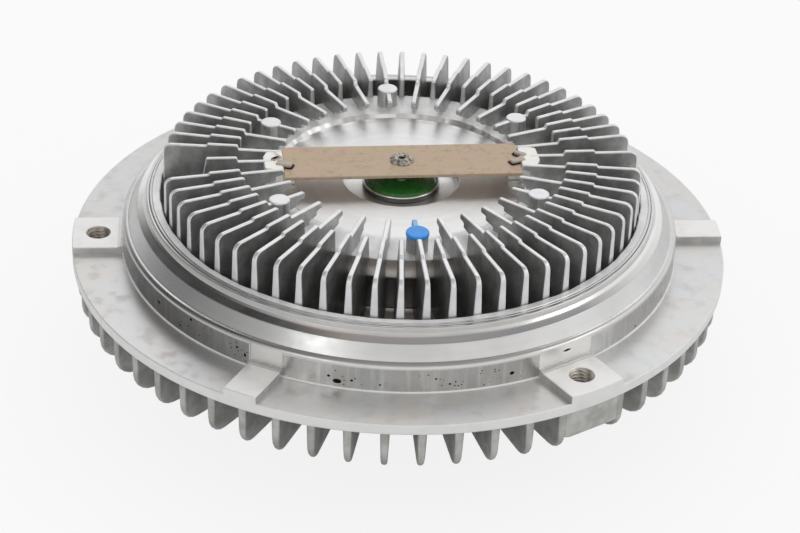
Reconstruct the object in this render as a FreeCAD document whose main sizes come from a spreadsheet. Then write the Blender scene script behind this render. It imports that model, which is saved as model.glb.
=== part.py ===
import FreeCAD, Part

import math
import os

import Sketcher

# Viscous fan clutch. Millimetres and degrees, +Z along the shaft towards the bimetal strip.
# The origin is the centre of the rear hub face, on which the clutch stands.
# The clutch has two halves that turn on each other. The drive half is the flanged shaft with the
# rotor disc. The fan half is the finned housing and its finned cover, with the valve between them.

# Driving sizes, each written once. A height says what it is measured from.
SIZES = {
    # Shaft and the flange that bolts to the pump hub
    "hub_flange_radius": 41.0,
    "hub_flange_thickness": 8.0,
    "hub_bolt_circle_radius": 31.0,
    "hub_bolt_hole_radius": 4.5,
    "hub_bolt_count": 4,
    "pilot_radius": 14.0,
    "pilot_depth": 5.0,
    "shaft_shoulder_radius": 18.5,
    "shaft_seat_chamfer": 0.8,
    # Sealed bearing
    "bearing_bore_radius": 15.0,
    "bearing_outer_radius": 27.5,
    "bearing_width": 13.0,
    "race_thickness": 3.2,
    "race_rib_height": 1.3,
    "race_rib_width": 2.6,
    "seal_thickness": 1.0,
    "seal_inset": 0.4,
    "roller_count": 12,
    "cage_thickness": 1.7,
    "cage_rim": 1.0,
    "bearing_play": 0.05,
    # Snap ring under the bearing
    "snap_ring_width": 2.0,
    "snap_ring_depth": 3.0,
    "snap_groove_play": 0.15,
    "snap_groove_depth": 1.5,
    "snap_land": 1.4,
    "snap_gap_half_width": 5.0,
    "snap_gap_reach": 8.0,
    # Housing casting
    "boss_gap": 8.0,
    "boss_wall": 7.0,
    "stop_radius": 24.0,
    "stop_thickness": 3.2,
    "rear_wall": 4.5,
    "rear_corner_wall": 1.1,
    "wall_cone_rise": 7.0,
    "seat_rise": 6.25,
    "fan_flange_width": 17.6,
    "flange_rise": 12.25,
    "fan_flange_thickness": 4.0,
    "wall_chamfer": 1.2,
    "wall_bead_width": 2.4,
    "bright_band_width": 2.9,
    "bright_band_drop": 4.9,
    "dark_band_width": 3.2,
    "dark_band_drop": 2.0,
    "lip_thickness": 1.1,
    "lip_wall_height": 2.1,
    "lip_rise": 2.05,
    "lip_chamfer": 0.4,
    # Pads, threaded holes and the blocks below them
    "pad_height": 2.55,
    "pad_step": 0.6,
    "threaded_pad_width": 21.0,
    "plain_pad_width": 11.8,
    "flat_depth": 0.6,
    "fan_bolt_edge": 9.1,
    "fan_thread_drill_radius": 3.4,
    "threaded_pad_angle": 60.0,
    "pad_count": 3,
    "block_depth": 14.5,
    "block_corner": 3.0,
    # Rear fins
    "rear_fin_places": 60,
    "rear_fin_inset": 1.5,
    "rear_fin_foot": 3.1,
    "rear_fin_edge": 2.4,
    "rear_fin_depth": 19.8,
    "rear_fin_slope": 4.2,
    "rear_fin_corner": 7.0,
    # Cover casting
    "cover_angle": 1.8,
    "rim_step": 1.8,
    "rim_height": 8.5,
    "neck_radius": 87.7,
    "neck_rise": 2.5,
    "ring_width": 3.7,
    "ring_rise": 0.3,
    "rim_clearance": 0.1,
    "spigot_inset": 2.9,
    "spigot_clearance": 0.3,
    "spigot_depth": 1.8,
    "channel_wall": 4.3,
    "drum_radius": 62.5,
    "drum_wall": 3.0,
    "drum_chamfer": 4.0,
    "plateau_rise": 6.4,
    "plateau_edge_width": 3.9,
    "disc_radius": 42.5,
    "disc_drop": 1.7,
    "dish_radius": 20.3,
    "dish_depth": 3.1,
    "drum_ceiling": 4.5,
    "pin_boss_radius": 9.0,
    "pin_boss_depth": 8.0,
    # Front fins
    "fin_places": 62,
    "fin_foot": 2.6,
    "fin_edge": 1.6,
    "fin_inset": 0.5,
    "fin_outer_drop": 0.8,
    "fin_outer_corner": 3.0,
    "fin_land_rise": 7.5,
    "fin_land_width": 11.3,
    "fin_land_inset": 5.5,
    "fin_inner_drop": 1.5,
    "fin_tip_overhang": 0.6,
    "fin_tip_drop": 2.1,
    "fin_tip_slope": 0.5,
    "fin_tip_length": 2.6,
    "fin_neck_rise": 1.9,
    "fin_step_inset": 2.0,
    "fin_step_rise": 1.0,
    "fin_root": 1.6,
    "cut_fin_lean": 4.0,
    "casting_boss_radius": 3.65,
    "casting_boss_circle": 52.0,
    "casting_boss_drop": 1.1,
    # Bimetal strip and its lugs
    "strip_length": 82.4,
    "strip_width": 21.6,
    "strip_thickness": 1.2,
    "strip_rise": 5.0,
    "strip_end_play": 0.1,
    "lug_seat_length": 4.0,
    "lug_seat_width": 8.0,
    "lug_length": 7.0,
    "lug_width": 13.4,
    "lug_rise": 0.9,
    "tab_length": 5.0,
    "tab_width": 4.2,
    "tab_thickness": 1.4,
    "tab_play": 0.05,
    # Cover seal
    "seal_ring_width": 2.4,
    "seal_groove_depth": 2.6,
    "seal_groove_play": 0.1,
    "seal_groove_rise": 2.6,
    # Rotor
    "rotor_clearance": 0.8,
    "rotor_seat_radius": 12.0,
    "rotor_seat_clearance": 0.02,
    "rotor_hub_radius": 19.0,
    "rotor_web_thickness": 5.0,
    "rotor_land_margin": 11.0,
    "rotor_shear_gap": 0.7,
    "rotor_ridge_root_gap": 0.5,
    "rotor_recess": 3.5,
    "rotor_recess_radius": 13.5,
    "rotor_port_radius": 5.0,
    "rotor_port_circle": 42.0,
    "rotor_port_count": 6,
    "ridge_height": 4.0,
    "ridge_thickness": 1.8,
    "ridge_gap": 0.5,
    "ridge_margin": 7.5,
    # Rotor screw
    "washer_radius": 11.0,
    "washer_thickness": 1.6,
    "screw_radius": 4.0,
    "screw_hole_clearance": 0.05,
    "screw_head_flats": 13.0,
    "screw_head_height": 5.3,
    "screw_length": 20.0,
    "shaft_end_relief": 0.5,
    # Separator plate and valve
    "plate_thickness": 1.5,
    "plate_inset": 0.5,
    "plate_ledge": 2.5,
    "plate_clearance": 0.1,
    "feed_port_radius": 3.5,
    "feed_port_distance": 30.0,
    "return_port_radius": 2.0,
    "return_port_distance": 51.0,
    "lever_thickness": 0.9,
    "lever_width": 11.0,
    "lever_end_margin": 4.0,
    "lever_pivot_distance": 30.0,
    "rivet_distance": 26.0,
    "rivet_shank_radius": 2.0,
    "rivet_head_radius": 3.4,
    "rivet_head_height": 1.2,
    "rivet_tail_height": 0.8,
    "rivet_lift": 0.55,
    "rivet_hole_play": 0.35,
    # Actuating pin and its seal
    "pin_radius": 3.0,
    "pin_play": 0.05,
    "pin_tip_radius": 1.5,
    "pin_tip_length": 3.0,
    "pin_tip_gap": 0.15,
    "pin_head_radius": 3.7,
    "pin_head_height": 1.5,
    "pin_head_dimple": 1.3,
    "strip_hole_play": 0.2,
    "case_radius": 13.15,
    "case_wall": 0.75,
    "case_height": 2.3,
    "case_hole_radius": 6.0,
    "diaphragm_rise": 0.6,
    "diaphragm_crown": 1.6,
    "diaphragm_nose_radius": 5.0,
}

doc = FreeCAD.newDocument("viscous_fan_clutch")
sheet = doc.addObject("Spreadsheet::Sheet", "sizes")
for row, (alias, number) in enumerate(SIZES.items(), start=1):
    sheet.set(f"A{row}", alias)
    sheet.set(f"B{row}", str(number))
    sheet.setAlias(f"B{row}", alias)
doc.recompute()


class Size:
    """A number together with the spreadsheet expression that gives it."""

    def __init__(self, value, text):
        self.value = value
        self.text = text

    def __add__(self, other):
        other = as_size(other)
        return Size(self.value + other.value, f"({self.text} + {other.text})")

    def __radd__(self, other):
        return as_size(other) + self

    def __sub__(self, other):
        other = as_size(other)
        return Size(self.value - other.value, f"({self.text} - {other.text})")

    def __rsub__(self, other):
        return as_size(other) - self

    def __mul__(self, other):
        other = as_size(other)
        return Size(self.value * other.value, f"({self.text} * {other.text})")

    def __rmul__(self, other):
        return as_size(other) * self

    def __truediv__(self, other):
        other = as_size(other)
        return Size(self.value / other.value, f"({self.text} / {other.text})")

    def __rtruediv__(self, other):
        return as_size(other) / self

    def __neg__(self):
        return Size(-self.value, f"(0 - {self.text})")


def as_size(number):
    return number if isinstance(number, Size) else Size(float(number), repr(float(number)))


def tangent(angle):
    """Tangent of a Size in degrees."""
    angle = as_size(angle)
    return Size(math.tan(math.radians(angle.value)), f"tan({angle.text} * 1deg)")


class SheetSizes:
    """Reads a cell of the sheet by its alias, as a Size."""

    def __getattr__(self, alias):
        return Size(float(sheet.get(alias)), f"sizes.{alias}")


s = SheetSizes()
used_up = []


def bind(thing, prop, amount):
    """Sets a property to a Size and ties it to the sheet."""
    amount = as_size(amount)
    thing.setExpression(prop, amount.text)


def new_body(label):
    body = doc.addObject("PartDesign::Body", label)
    body.Label = label
    return body


def origin_part(body, role):
    """The body's own plane or axis, such as XY_Plane or Z_Axis."""
    return next(part for part in body.Origin.OriginFeatures if part.Role == role)


def new_sketch(body, name, plane, lift=None, turn=None):
    """A sketch on an origin plane, lifted along its normal or turned about the clutch's axis."""
    sketch = body.newObject("Sketcher::SketchObject", name)
    sketch.AttachmentSupport = (origin_part(body, plane), [""])
    sketch.MapMode = "FlatFace"
    if turn is not None:
        about = FreeCAD.Vector(0, 0, 1) if plane == "XY_Plane" else FreeCAD.Vector(0, 1, 0)
        rotation = FreeCAD.Rotation(about, as_size(turn).value)
        sketch.AttachmentOffset = FreeCAD.Placement(FreeCAD.Vector(), rotation)
        bind(sketch, "AttachmentOffset.Rotation.Angle", turn)
    if lift is not None:
        bind(sketch, "AttachmentOffset.Base.z", lift)
    return sketch


def hold_point(sketch, geometry, end, x, y):
    """Holds a point of the sketch at x, y, each tied to the sheet."""
    for kind, axis, amount in (("DistanceX", -2, as_size(x)), ("DistanceY", -1, as_size(y))):
        if amount.value == 0:
            sketch.addConstraint(Sketcher.Constraint("PointOnObject", geometry, end, axis))
            continue
        index = sketch.addConstraint(Sketcher.Constraint(kind, -1, 1, geometry, end, amount.value))
        bind(sketch, f"Constraints[{index}]", amount)


def unit(vector):
    return vector * (1 / vector.Length)


def draw_outline(sketch, corners):
    """Draws a closed outline. A corner is (x, y), or (x, y, radius) where it is rounded."""
    count = len(corners)
    first = sketch.GeometryCount
    points = [FreeCAD.Vector(as_size(c[0]).value, as_size(c[1]).value, 0) for c in corners]
    rounded = {}
    for i, corner in enumerate(corners):
        if len(corner) < 3:
            continue
        back = unit(points[i - 1] - points[i])
        ahead = unit(points[(i + 1) % count] - points[i])
        half = back.getAngle(ahead) / 2
        radius = as_size(corner[2])
        reach = radius.value / math.tan(half)
        centre = points[i] + unit(back + ahead) * (radius.value / math.sin(half))
        left = back.cross(ahead).z < 0
        rounded[i] = (radius, points[i] + back * reach, points[i] + ahead * reach, centre, left)
    for i in range(count):
        j = (i + 1) % count
        start = rounded[i][2] if i in rounded else points[i]
        end = rounded[j][1] if j in rounded else points[j]
        sketch.addGeometry(Part.LineSegment(start, end))
    for i in range(count):
        before = first + (i - 1) % count
        after = first + i
        if i not in rounded:
            sketch.addConstraint(Sketcher.Constraint("Coincident", before, 2, after, 1))
            hold_point(sketch, after, 1, corners[i][0], corners[i][1])
            continue
        radius, enter, leave, centre, left = rounded[i]
        a, b = (enter, leave) if left else (leave, enter)
        angle_a = math.atan2(a.y - centre.y, a.x - centre.x)
        angle_b = math.atan2(b.y - centre.y, b.x - centre.x)
        circle = Part.Circle(centre, FreeCAD.Vector(0, 0, 1), radius.value)
        arc = sketch.addGeometry(Part.ArcOfCircle(circle, angle_a, angle_b))
        mark = sketch.addGeometry(Part.Point(points[i]), True)
        enter_end, leave_end = (1, 2) if left else (2, 1)
        sketch.addConstraint(Sketcher.Constraint("Tangent", before, 2, arc, enter_end))
        sketch.addConstraint(Sketcher.Constraint("Tangent", arc, leave_end, after, 1))
        index = sketch.addConstraint(Sketcher.Constraint("Radius", arc, radius.value))
        bind(sketch, f"Constraints[{index}]", radius)
        hold_point(sketch, mark, 1, corners[i][0], corners[i][1])
        sketch.addConstraint(Sketcher.Constraint("PointOnObject", mark, 1, before))
        sketch.addConstraint(Sketcher.Constraint("PointOnObject", mark, 1, after))


def draw_circle(sketch, x, y, radius):
    radius = as_size(radius)
    centre = FreeCAD.Vector(as_size(x).value, as_size(y).value, 0)
    circle = sketch.addGeometry(Part.Circle(centre, FreeCAD.Vector(0, 0, 1), radius.value))
    index = sketch.addConstraint(Sketcher.Constraint("Radius", circle, radius.value))
    bind(sketch, f"Constraints[{index}]", radius)
    hold_point(sketch, circle, 3, x, y)


def turned(body, name, corners):
    """Adds the solid that an outline of radius and height sweeps about the clutch's axis."""
    sketch = new_sketch(body, name + "_outline", "XZ_Plane")
    draw_outline(sketch, corners)
    feature = body.newObject("PartDesign::Revolution", name)
    feature.Profile = sketch
    feature.ReferenceAxis = (sketch, ["V_Axis"])
    feature.Angle = 360
    return feature


def padded(body, name, sketch, length, both_sides=False):
    feature = body.newObject("PartDesign::Pad", name)
    feature.Profile = sketch
    if both_sides:
        feature.SideType = "Symmetric"
    bind(feature, "Length", length)
    return feature


def pocketed(body, name, sketch, depth=None):
    """Cuts the sketch away, both ways through the body, or one way up from the sketch."""
    feature = body.newObject("PartDesign::Pocket", name)
    feature.Profile = sketch
    if depth is None:
        feature.SideType = "Symmetric"
        feature.Type = "ThroughAll"
    else:
        feature.Reversed = True
        bind(feature, "Length", depth)
    return feature


def around(body, name, features, count, angle=360):
    """Repeats features, or with none the whole body, about the clutch's axis."""
    doc.recompute()
    pattern = body.newObject("PartDesign::PolarPattern", name)
    if features:
        pattern.Originals = features
    else:
        pattern.TransformMode = "Whole shape"
    pattern.Axis = (origin_part(body, "Z_Axis"), [""])
    bind(pattern, "Occurrences", count)
    bind(pattern, "Angle", angle)
    body.Tip = pattern
    return pattern


def mirrored(body, name, plane):
    """Adds the whole body's mirror image."""
    doc.recompute()
    mirror = body.newObject("PartDesign::Mirrored", name)
    mirror.TransformMode = "Whole shape"
    mirror.MirrorPlane = (origin_part(body, plane), [""])
    body.Tip = mirror
    return mirror


def joined(body, name, others):
    """Joins other bodies to this one, as metal of the same casting."""
    doc.recompute()
    union = body.newObject("PartDesign::Boolean", name)
    union.Type = "Fuse"
    union.setObjects(others)
    body.Tip = union
    used_up.extend(others)


def drafted_fin(body, name, outline, turn, foot_height, foot, edge_height, edge):
    """A radial fin whose thickness changes evenly from its foot to its edge."""
    sketch = new_sketch(body, name + "_outline", "XZ_Plane", turn=turn)
    draw_outline(sketch, outline)
    padded(body, name, sketch, foot, both_sides=True)
    sides = new_sketch(body, name + "_draft", "YZ_Plane", turn=turn)
    beyond = edge_height + (edge_height - foot_height)
    beyond_half = edge / 2 - (foot - edge) / 2
    for side in (1, -1):
        near = side * foot / 2
        draw_outline(sides, [
            (near, foot_height),
            (side * foot, foot_height),
            (side * foot, beyond),
            (side * beyond_half, beyond),
        ])
    pocketed(body, name + "_sides", sides)


# Radii that several pieces share, worked outwards and inwards from the cover's neck and drum

rim_radius = s.neck_radius + s.rim_step
spigot_radius = rim_radius - s.spigot_inset
chamber_radius = spigot_radius + s.spigot_clearance
chamber_wall_radius = chamber_radius + s.rear_corner_wall
lip_radius = s.neck_radius + s.rim_clearance + s.lip_thickness
band_top_radius = lip_radius + s.dark_band_width
band_foot_radius = band_top_radius + s.bright_band_width
wall_radius = band_foot_radius + s.wall_bead_width
flat_distance = wall_radius - s.flat_depth
pad_inner_distance = wall_radius + s.pad_step
fan_flange_radius = wall_radius + s.fan_flange_width
fan_bolt_circle_radius = fan_flange_radius - s.fan_bolt_edge
ring_inner_radius = s.neck_radius - s.ring_width
fin_outer_radius = ring_inner_radius - s.fin_inset
fin_land_inner_radius = s.drum_radius - s.fin_land_inset
fin_land_outer_radius = fin_land_inner_radius + s.fin_land_width
fin_tip_radius = s.disc_radius - s.fin_tip_overhang
plateau_inner_radius = s.disc_radius + s.plateau_edge_width
fin_step_radius = plateau_inner_radius + s.fin_step_inset
plate_seat_radius = s.drum_radius - s.drum_wall
drum_inside = plate_seat_radius - s.plate_ledge
drum_wall_middle = (drum_inside + s.drum_radius) / 2
first_ridge_radius = plate_seat_radius + s.ridge_margin
ridge_pitch = 2 * (s.ridge_thickness + s.ridge_gap)
rotor_land_inner_radius = first_ridge_radius - s.rotor_land_margin
rotor_radius = chamber_radius - s.rotor_clearance
pin_hole_radius = s.pin_radius + s.pin_play
boss_radius = s.bearing_outer_radius + s.boss_wall
rear_boss_inside = boss_radius - s.boss_wall / 2

# Heights that several pieces share, above the rear hub face

boss_bottom = s.hub_flange_thickness + s.boss_gap
snap_groove_bottom = boss_bottom + s.snap_land
bearing_bottom = snap_groove_bottom + s.snap_ring_width + s.snap_groove_play
bearing_top = bearing_bottom + s.bearing_width
chamber_floor = bearing_top + s.stop_thickness
rear_face = chamber_floor - s.rear_wall
flange_top = chamber_floor + s.flange_rise
cover_seat = flange_top + s.seat_rise
rim_top = cover_seat + s.rim_height
neck_foot = rim_top + s.neck_rise
lip_top = neck_foot + s.lip_rise
lip_foot = lip_top - s.lip_wall_height
band_top = lip_foot - s.dark_band_drop
wall_top = band_top - s.bright_band_drop
ring_top = lip_top + s.ring_rise
cover_underside = cover_seat - s.spigot_depth
channel_floor = cover_underside + s.channel_wall
plate_seat = cover_underside + s.plate_inset + s.plate_thickness
plateau = ring_top + s.plateau_rise
disc = plateau - s.disc_drop
dish = disc - s.dish_depth
fin_land_top = plateau + s.fin_land_rise
fin_outer_top = fin_land_top - s.fin_outer_drop
fin_inner_top = fin_land_top - s.fin_inner_drop
strip_top = plateau + s.strip_rise
strip_underside = strip_top - s.strip_thickness
rotor_rear = chamber_floor + s.rotor_shear_gap
rotor_front = cover_underside - s.ridge_height - s.rotor_ridge_root_gap
rotor_web_rear = rotor_front - s.rotor_web_thickness
rotor_hub_front = rotor_front - s.rotor_recess
groove_foot = cover_seat + s.seal_groove_rise
channel_middle = (cover_underside + channel_floor) / 2
flange_underside = flange_top - s.fan_flange_thickness
flange_middle = flange_top - s.fan_flange_thickness / 2
rear_wall_middle = chamber_floor - s.rear_wall / 2


def make_shaft():
    body = new_body("drive_shaft")
    rotor_seat_end = rotor_hub_front - s.shaft_end_relief
    hole_radius = s.screw_radius + s.screw_hole_clearance
    turned(body, "shaft", [
        (0, s.pilot_depth),
        (s.pilot_radius, s.pilot_depth),
        (s.pilot_radius, 0),
        (s.hub_flange_radius, 0),
        (s.hub_flange_radius, s.hub_flange_thickness),
        (s.shaft_shoulder_radius, s.hub_flange_thickness),
        (s.shaft_shoulder_radius, bearing_bottom),
        (s.bearing_bore_radius, bearing_bottom),
        (s.bearing_bore_radius, bearing_top),
        (s.rotor_seat_radius, bearing_top),
        (s.rotor_seat_radius, rotor_seat_end - s.shaft_seat_chamfer),
        (s.rotor_seat_radius - s.shaft_seat_chamfer, rotor_seat_end),
        (hole_radius, rotor_seat_end),
        (hole_radius, rotor_hub_front + s.washer_thickness - s.screw_length),
        (0, rotor_hub_front + s.washer_thickness - s.screw_length),
    ])
    holes = new_sketch(body, "hub_bolt_hole_outline", "XY_Plane")
    draw_circle(holes, s.hub_bolt_circle_radius, 0, s.hub_bolt_hole_radius)
    hole = pocketed(body, "hub_bolt_hole", holes, s.hub_flange_thickness)
    around(body, "hub_bolt_holes", [hole], s.hub_bolt_count)
    return body


def make_rotor():
    body = new_body("rotor")
    bore = s.rotor_seat_radius + s.rotor_seat_clearance
    ridge_top = rotor_front + s.ridge_height
    outline = [
        (bore, bearing_top),
        (s.rotor_hub_radius, bearing_top),
        (s.rotor_hub_radius, rotor_web_rear),
        (rotor_land_inner_radius, rotor_web_rear),
        (rotor_land_inner_radius, rotor_rear),
        (rotor_radius, rotor_rear),
        (rotor_radius, rotor_front),
    ]
    for place in (1, 0):
        inner = first_ridge_radius + s.ridge_thickness + s.ridge_gap + place * ridge_pitch
        outer = inner + s.ridge_thickness
        outline += [(outer, rotor_front), (outer, ridge_top), (inner, ridge_top), (inner, rotor_front)]
    outline += [
        (s.rotor_recess_radius, rotor_front),
        (s.rotor_recess_radius, rotor_hub_front),
        (bore, rotor_hub_front),
    ]
    turned(body, "disc", outline)
    ports = new_sketch(body, "port_outline", "XY_Plane", lift=rotor_web_rear)
    draw_circle(ports, s.rotor_port_circle, 0, s.rotor_port_radius)
    port = pocketed(body, "port", ports, s.rotor_web_thickness)
    around(body, "ports", [port], s.rotor_port_count)
    return body


def make_rotor_washer():
    body = new_body("rotor_washer")
    hole = s.screw_radius + s.screw_hole_clearance
    top = rotor_hub_front + s.washer_thickness
    turned(body, "washer", [
        (hole, rotor_hub_front),
        (s.washer_radius, rotor_hub_front),
        (s.washer_radius, top),
        (hole, top),
    ])
    return body


def make_rotor_screw():
    body = new_body("rotor_screw")
    seat = rotor_hub_front + s.washer_thickness
    end = seat - s.screw_length + s.shaft_seat_chamfer
    shank = new_sketch(body, "shank_outline", "XY_Plane", lift=end)
    draw_circle(shank, 0, 0, s.screw_radius)
    padded(body, "shank", shank, seat - end)
    head = new_sketch(body, "head_outline", "XY_Plane", lift=seat)
    half = s.screw_head_flats / 2
    side = half * tangent(30)
    draw_outline(head, [
        (half, -side),
        (half, side),
        (0, 2 * side),
        (-half, side),
        (-half, -side),
        (0, -2 * side),
    ])
    padded(body, "head", head, s.screw_head_height)
    return body


def make_bearing():
    """The sealed bearing between the shaft and the housing: two races, rollers, cage and seals."""
    outer_track = s.bearing_outer_radius - s.race_thickness
    inner_track = s.bearing_bore_radius + s.race_thickness
    low_rib = bearing_bottom + s.race_rib_width
    high_rib = bearing_top - s.race_rib_width

    outer = new_body("bearing_outer_race")
    turned(outer, "outer_race", [
        (outer_track - s.race_rib_height, bearing_bottom),
        (s.bearing_outer_radius, bearing_bottom),
        (s.bearing_outer_radius, bearing_top),
        (outer_track - s.race_rib_height, bearing_top),
        (outer_track - s.race_rib_height, high_rib),
        (outer_track, high_rib),
        (outer_track, low_rib),
        (outer_track - s.race_rib_height, low_rib),
    ])

    inner = new_body("bearing_inner_race")
    turned(inner, "inner_race", [
        (s.bearing_bore_radius, bearing_bottom),
        (inner_track + s.race_rib_height, bearing_bottom),
        (inner_track + s.race_rib_height, low_rib),
        (inner_track, low_rib),
        (inner_track, high_rib),
        (inner_track + s.race_rib_height, high_rib),
        (inner_track + s.race_rib_height, bearing_top),
        (s.bearing_bore_radius, bearing_top),
    ])

    for name, bottom in (
        ("bearing_rear_seal", bearing_bottom + s.seal_inset),
        ("bearing_front_seal", bearing_top - s.seal_inset - s.seal_thickness),
    ):
        seal = new_body(name)
        inside = inner_track + s.race_rib_height + s.bearing_play
        outside = outer_track - s.race_rib_height
        turned(seal, name + "_ring", [
            (inside, bottom),
            (outside, bottom),
            (outside, bottom + s.seal_thickness),
            (inside, bottom + s.seal_thickness),
        ])

    roller_radius = (outer_track - inner_track) / 2 - s.bearing_play
    roller_circle = (outer_track + inner_track) / 2
    roller_foot = low_rib + s.bearing_play
    roller_end = high_rib - s.bearing_play
    rollers = new_body("bearing_rollers")
    sketch = new_sketch(rollers, "roller_outline", "XY_Plane", lift=roller_foot)
    draw_circle(sketch, roller_circle, 0, roller_radius)
    roller = padded(rollers, "roller", sketch, roller_end - roller_foot)
    around(rollers, "roller_ring", [roller], s.roller_count)

    cage = new_body("bearing_cage")
    inside = roller_circle - s.cage_thickness / 2
    outside = roller_circle + s.cage_thickness / 2
    turned(cage, "cage_ring", [
        (inside, low_rib - s.cage_rim),
        (outside, low_rib - s.cage_rim),
        (outside, high_rib + s.cage_rim),
        (inside, high_rib + s.cage_rim),
    ])
    window = new_sketch(cage, "window_outline", "XY_Plane", lift=low_rib)
    draw_circle(window, roller_circle, 0, roller_radius + s.bearing_play)
    opening = pocketed(cage, "window", window, high_rib - low_rib)
    around(cage, "windows", [opening], s.roller_count)


def make_snap_ring():
    """The open ring that holds the bearing up in the housing."""
    body = new_body("bearing_snap_ring")
    bottom = snap_groove_bottom + s.snap_groove_play
    outside = s.bearing_outer_radius + s.snap_groove_depth - s.snap_groove_play
    turned(body, "ring", [
        (outside - s.snap_ring_depth, bottom),
        (outside, bottom),
        (outside, bottom + s.snap_ring_width),
        (outside - s.snap_ring_depth, bottom + s.snap_ring_width),
    ])
    gap = new_sketch(body, "gap_outline", "XY_Plane", lift=bottom)
    inner_edge = outside - s.snap_gap_reach
    draw_outline(gap, [
        (inner_edge, -s.snap_gap_half_width),
        (outside + s.snap_ring_depth, -s.snap_gap_half_width),
        (outside + s.snap_ring_depth, s.snap_gap_half_width),
        (inner_edge, s.snap_gap_half_width),
    ])
    pocketed(body, "gap", gap, s.snap_ring_width)
    return body


def make_rear_fins():
    """The ring of radial fins below the fan flange, with none where a threaded block stands."""
    body = new_body("rear_fins")
    fin_outside = fan_flange_radius - s.rear_fin_inset
    fin_low = flange_top - s.rear_fin_depth
    wall_inside = wall_radius - s.fan_flange_thickness
    drafted_fin(
        body, "rear_fin",
        [
            (rear_boss_inside, fin_low - s.rear_fin_slope),
            (fin_outside, fin_low, s.rear_fin_corner),
            (fin_outside, flange_middle),
            (wall_inside, flange_middle),
            (wall_inside, rear_face + s.wall_cone_rise),
            (chamber_wall_radius - s.fan_flange_thickness, rear_wall_middle),
            (rear_boss_inside, rear_wall_middle),
        ],
        None, flange_underside, s.rear_fin_foot, fin_low, s.rear_fin_edge,
    )
    around(body, "rear_fin_ring", [], s.rear_fin_places)
    spare = new_sketch(body, "spare_fin_outline", "XY_Plane", turn=s.threaded_pad_angle)
    draw_outline(spare, [
        (boss_radius - s.boss_wall, -(s.rear_fin_foot / 2)),
        (fan_flange_radius, -(s.rear_fin_foot / 2)),
        (fan_flange_radius, s.rear_fin_foot / 2),
        (boss_radius - s.boss_wall, s.rear_fin_foot / 2),
    ])
    left_out = pocketed(body, "spare_fin", spare, flange_top)
    around(body, "spare_fins", [left_out], s.pad_count)
    return body


def make_housing():
    """The finned casting that carries the fan."""
    fins = make_rear_fins()
    body = new_body("housing")
    fin_outside = fan_flange_radius - s.rear_fin_inset
    cone_top = rear_face + s.wall_cone_rise
    neck_bore = s.neck_radius + s.rim_clearance
    rim_bore = rim_radius + s.rim_clearance
    turned(body, "casting", [
        (s.bearing_outer_radius, boss_bottom),
        (boss_radius, boss_bottom),
        (boss_radius, rear_face),
        (chamber_wall_radius, rear_face),
        (wall_radius, cone_top),
        (wall_radius, flange_underside),
        (fan_flange_radius, flange_underside),
        (fan_flange_radius, flange_top),
        (wall_radius, flange_top),
        (wall_radius, wall_top - s.wall_chamfer),
        (wall_radius - s.wall_chamfer, wall_top),
        (band_foot_radius, wall_top),
        (band_top_radius, band_top),
        (lip_radius, lip_foot),
        (lip_radius, lip_top - s.lip_chamfer),
        (lip_radius - s.lip_chamfer, lip_top),
        (neck_bore, lip_top),
        (neck_bore, neck_foot),
        (rim_bore, rim_top),
        (rim_bore, cover_seat),
        (chamber_radius, cover_seat),
        (chamber_radius, chamber_floor),
        (s.stop_radius, chamber_floor),
        (s.stop_radius, bearing_top),
        (s.bearing_outer_radius, bearing_top),
        (s.bearing_outer_radius, bearing_bottom),
        (s.bearing_outer_radius + s.snap_groove_depth, bearing_bottom),
        (s.bearing_outer_radius + s.snap_groove_depth, snap_groove_bottom),
        (s.bearing_outer_radius, snap_groove_bottom),
    ])

    block_bottom = flange_top - s.block_depth
    block = new_sketch(body, "block_outline", "XY_Plane", lift=block_bottom, turn=s.threaded_pad_angle)
    block_inside = wall_radius - s.fan_flange_thickness
    spread = tangent(360 / s.rear_fin_places)
    draw_outline(block, [
        (block_inside, -(block_inside * spread)),
        (fin_outside, -(fin_outside * spread), s.block_corner),
        (fin_outside, fin_outside * spread, s.block_corner),
        (block_inside, block_inside * spread),
    ])
    block_pad = padded(body, "block", block, flange_middle - block_bottom)
    around(body, "blocks", [block_pad], s.pad_count)

    pads = (
        ("threaded_pad", s.threaded_pad_width, s.threaded_pad_angle),
        ("plain_pad", s.plain_pad_width, as_size(0)),
    )
    for name, width, angle in pads:
        pad = new_sketch(body, name + "_outline", "XY_Plane", lift=flange_middle, turn=angle)
        draw_pad(pad, width)
        pad_height = s.pad_height + s.fan_flange_thickness / 2
        solid = padded(body, name, pad, pad_height)
        flat = new_sketch(
            body, name + "_flat_outline", "XY_Plane", lift=flange_top + s.pad_height, turn=angle
        )
        draw_outline(flat, [
            (flat_distance, -width / 2),
            (pad_inner_distance, -width / 2),
            (pad_inner_distance, width / 2),
            (flat_distance, width / 2),
        ])
        cut = pocketed(body, name + "_flat", flat, wall_top - flange_top)
        around(body, name + "s", [solid, cut], s.pad_count)

    hole = new_sketch(body, "fan_hole_outline", "XY_Plane", lift=block_bottom, turn=s.threaded_pad_angle)
    draw_circle(hole, fan_bolt_circle_radius, 0, s.fan_thread_drill_radius)
    drill = pocketed(body, "fan_hole", hole, s.block_depth + s.pad_height)
    around(body, "fan_holes", [drill], s.pad_count)
    joined(body, "finned_housing", [fins])
    return body


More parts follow.
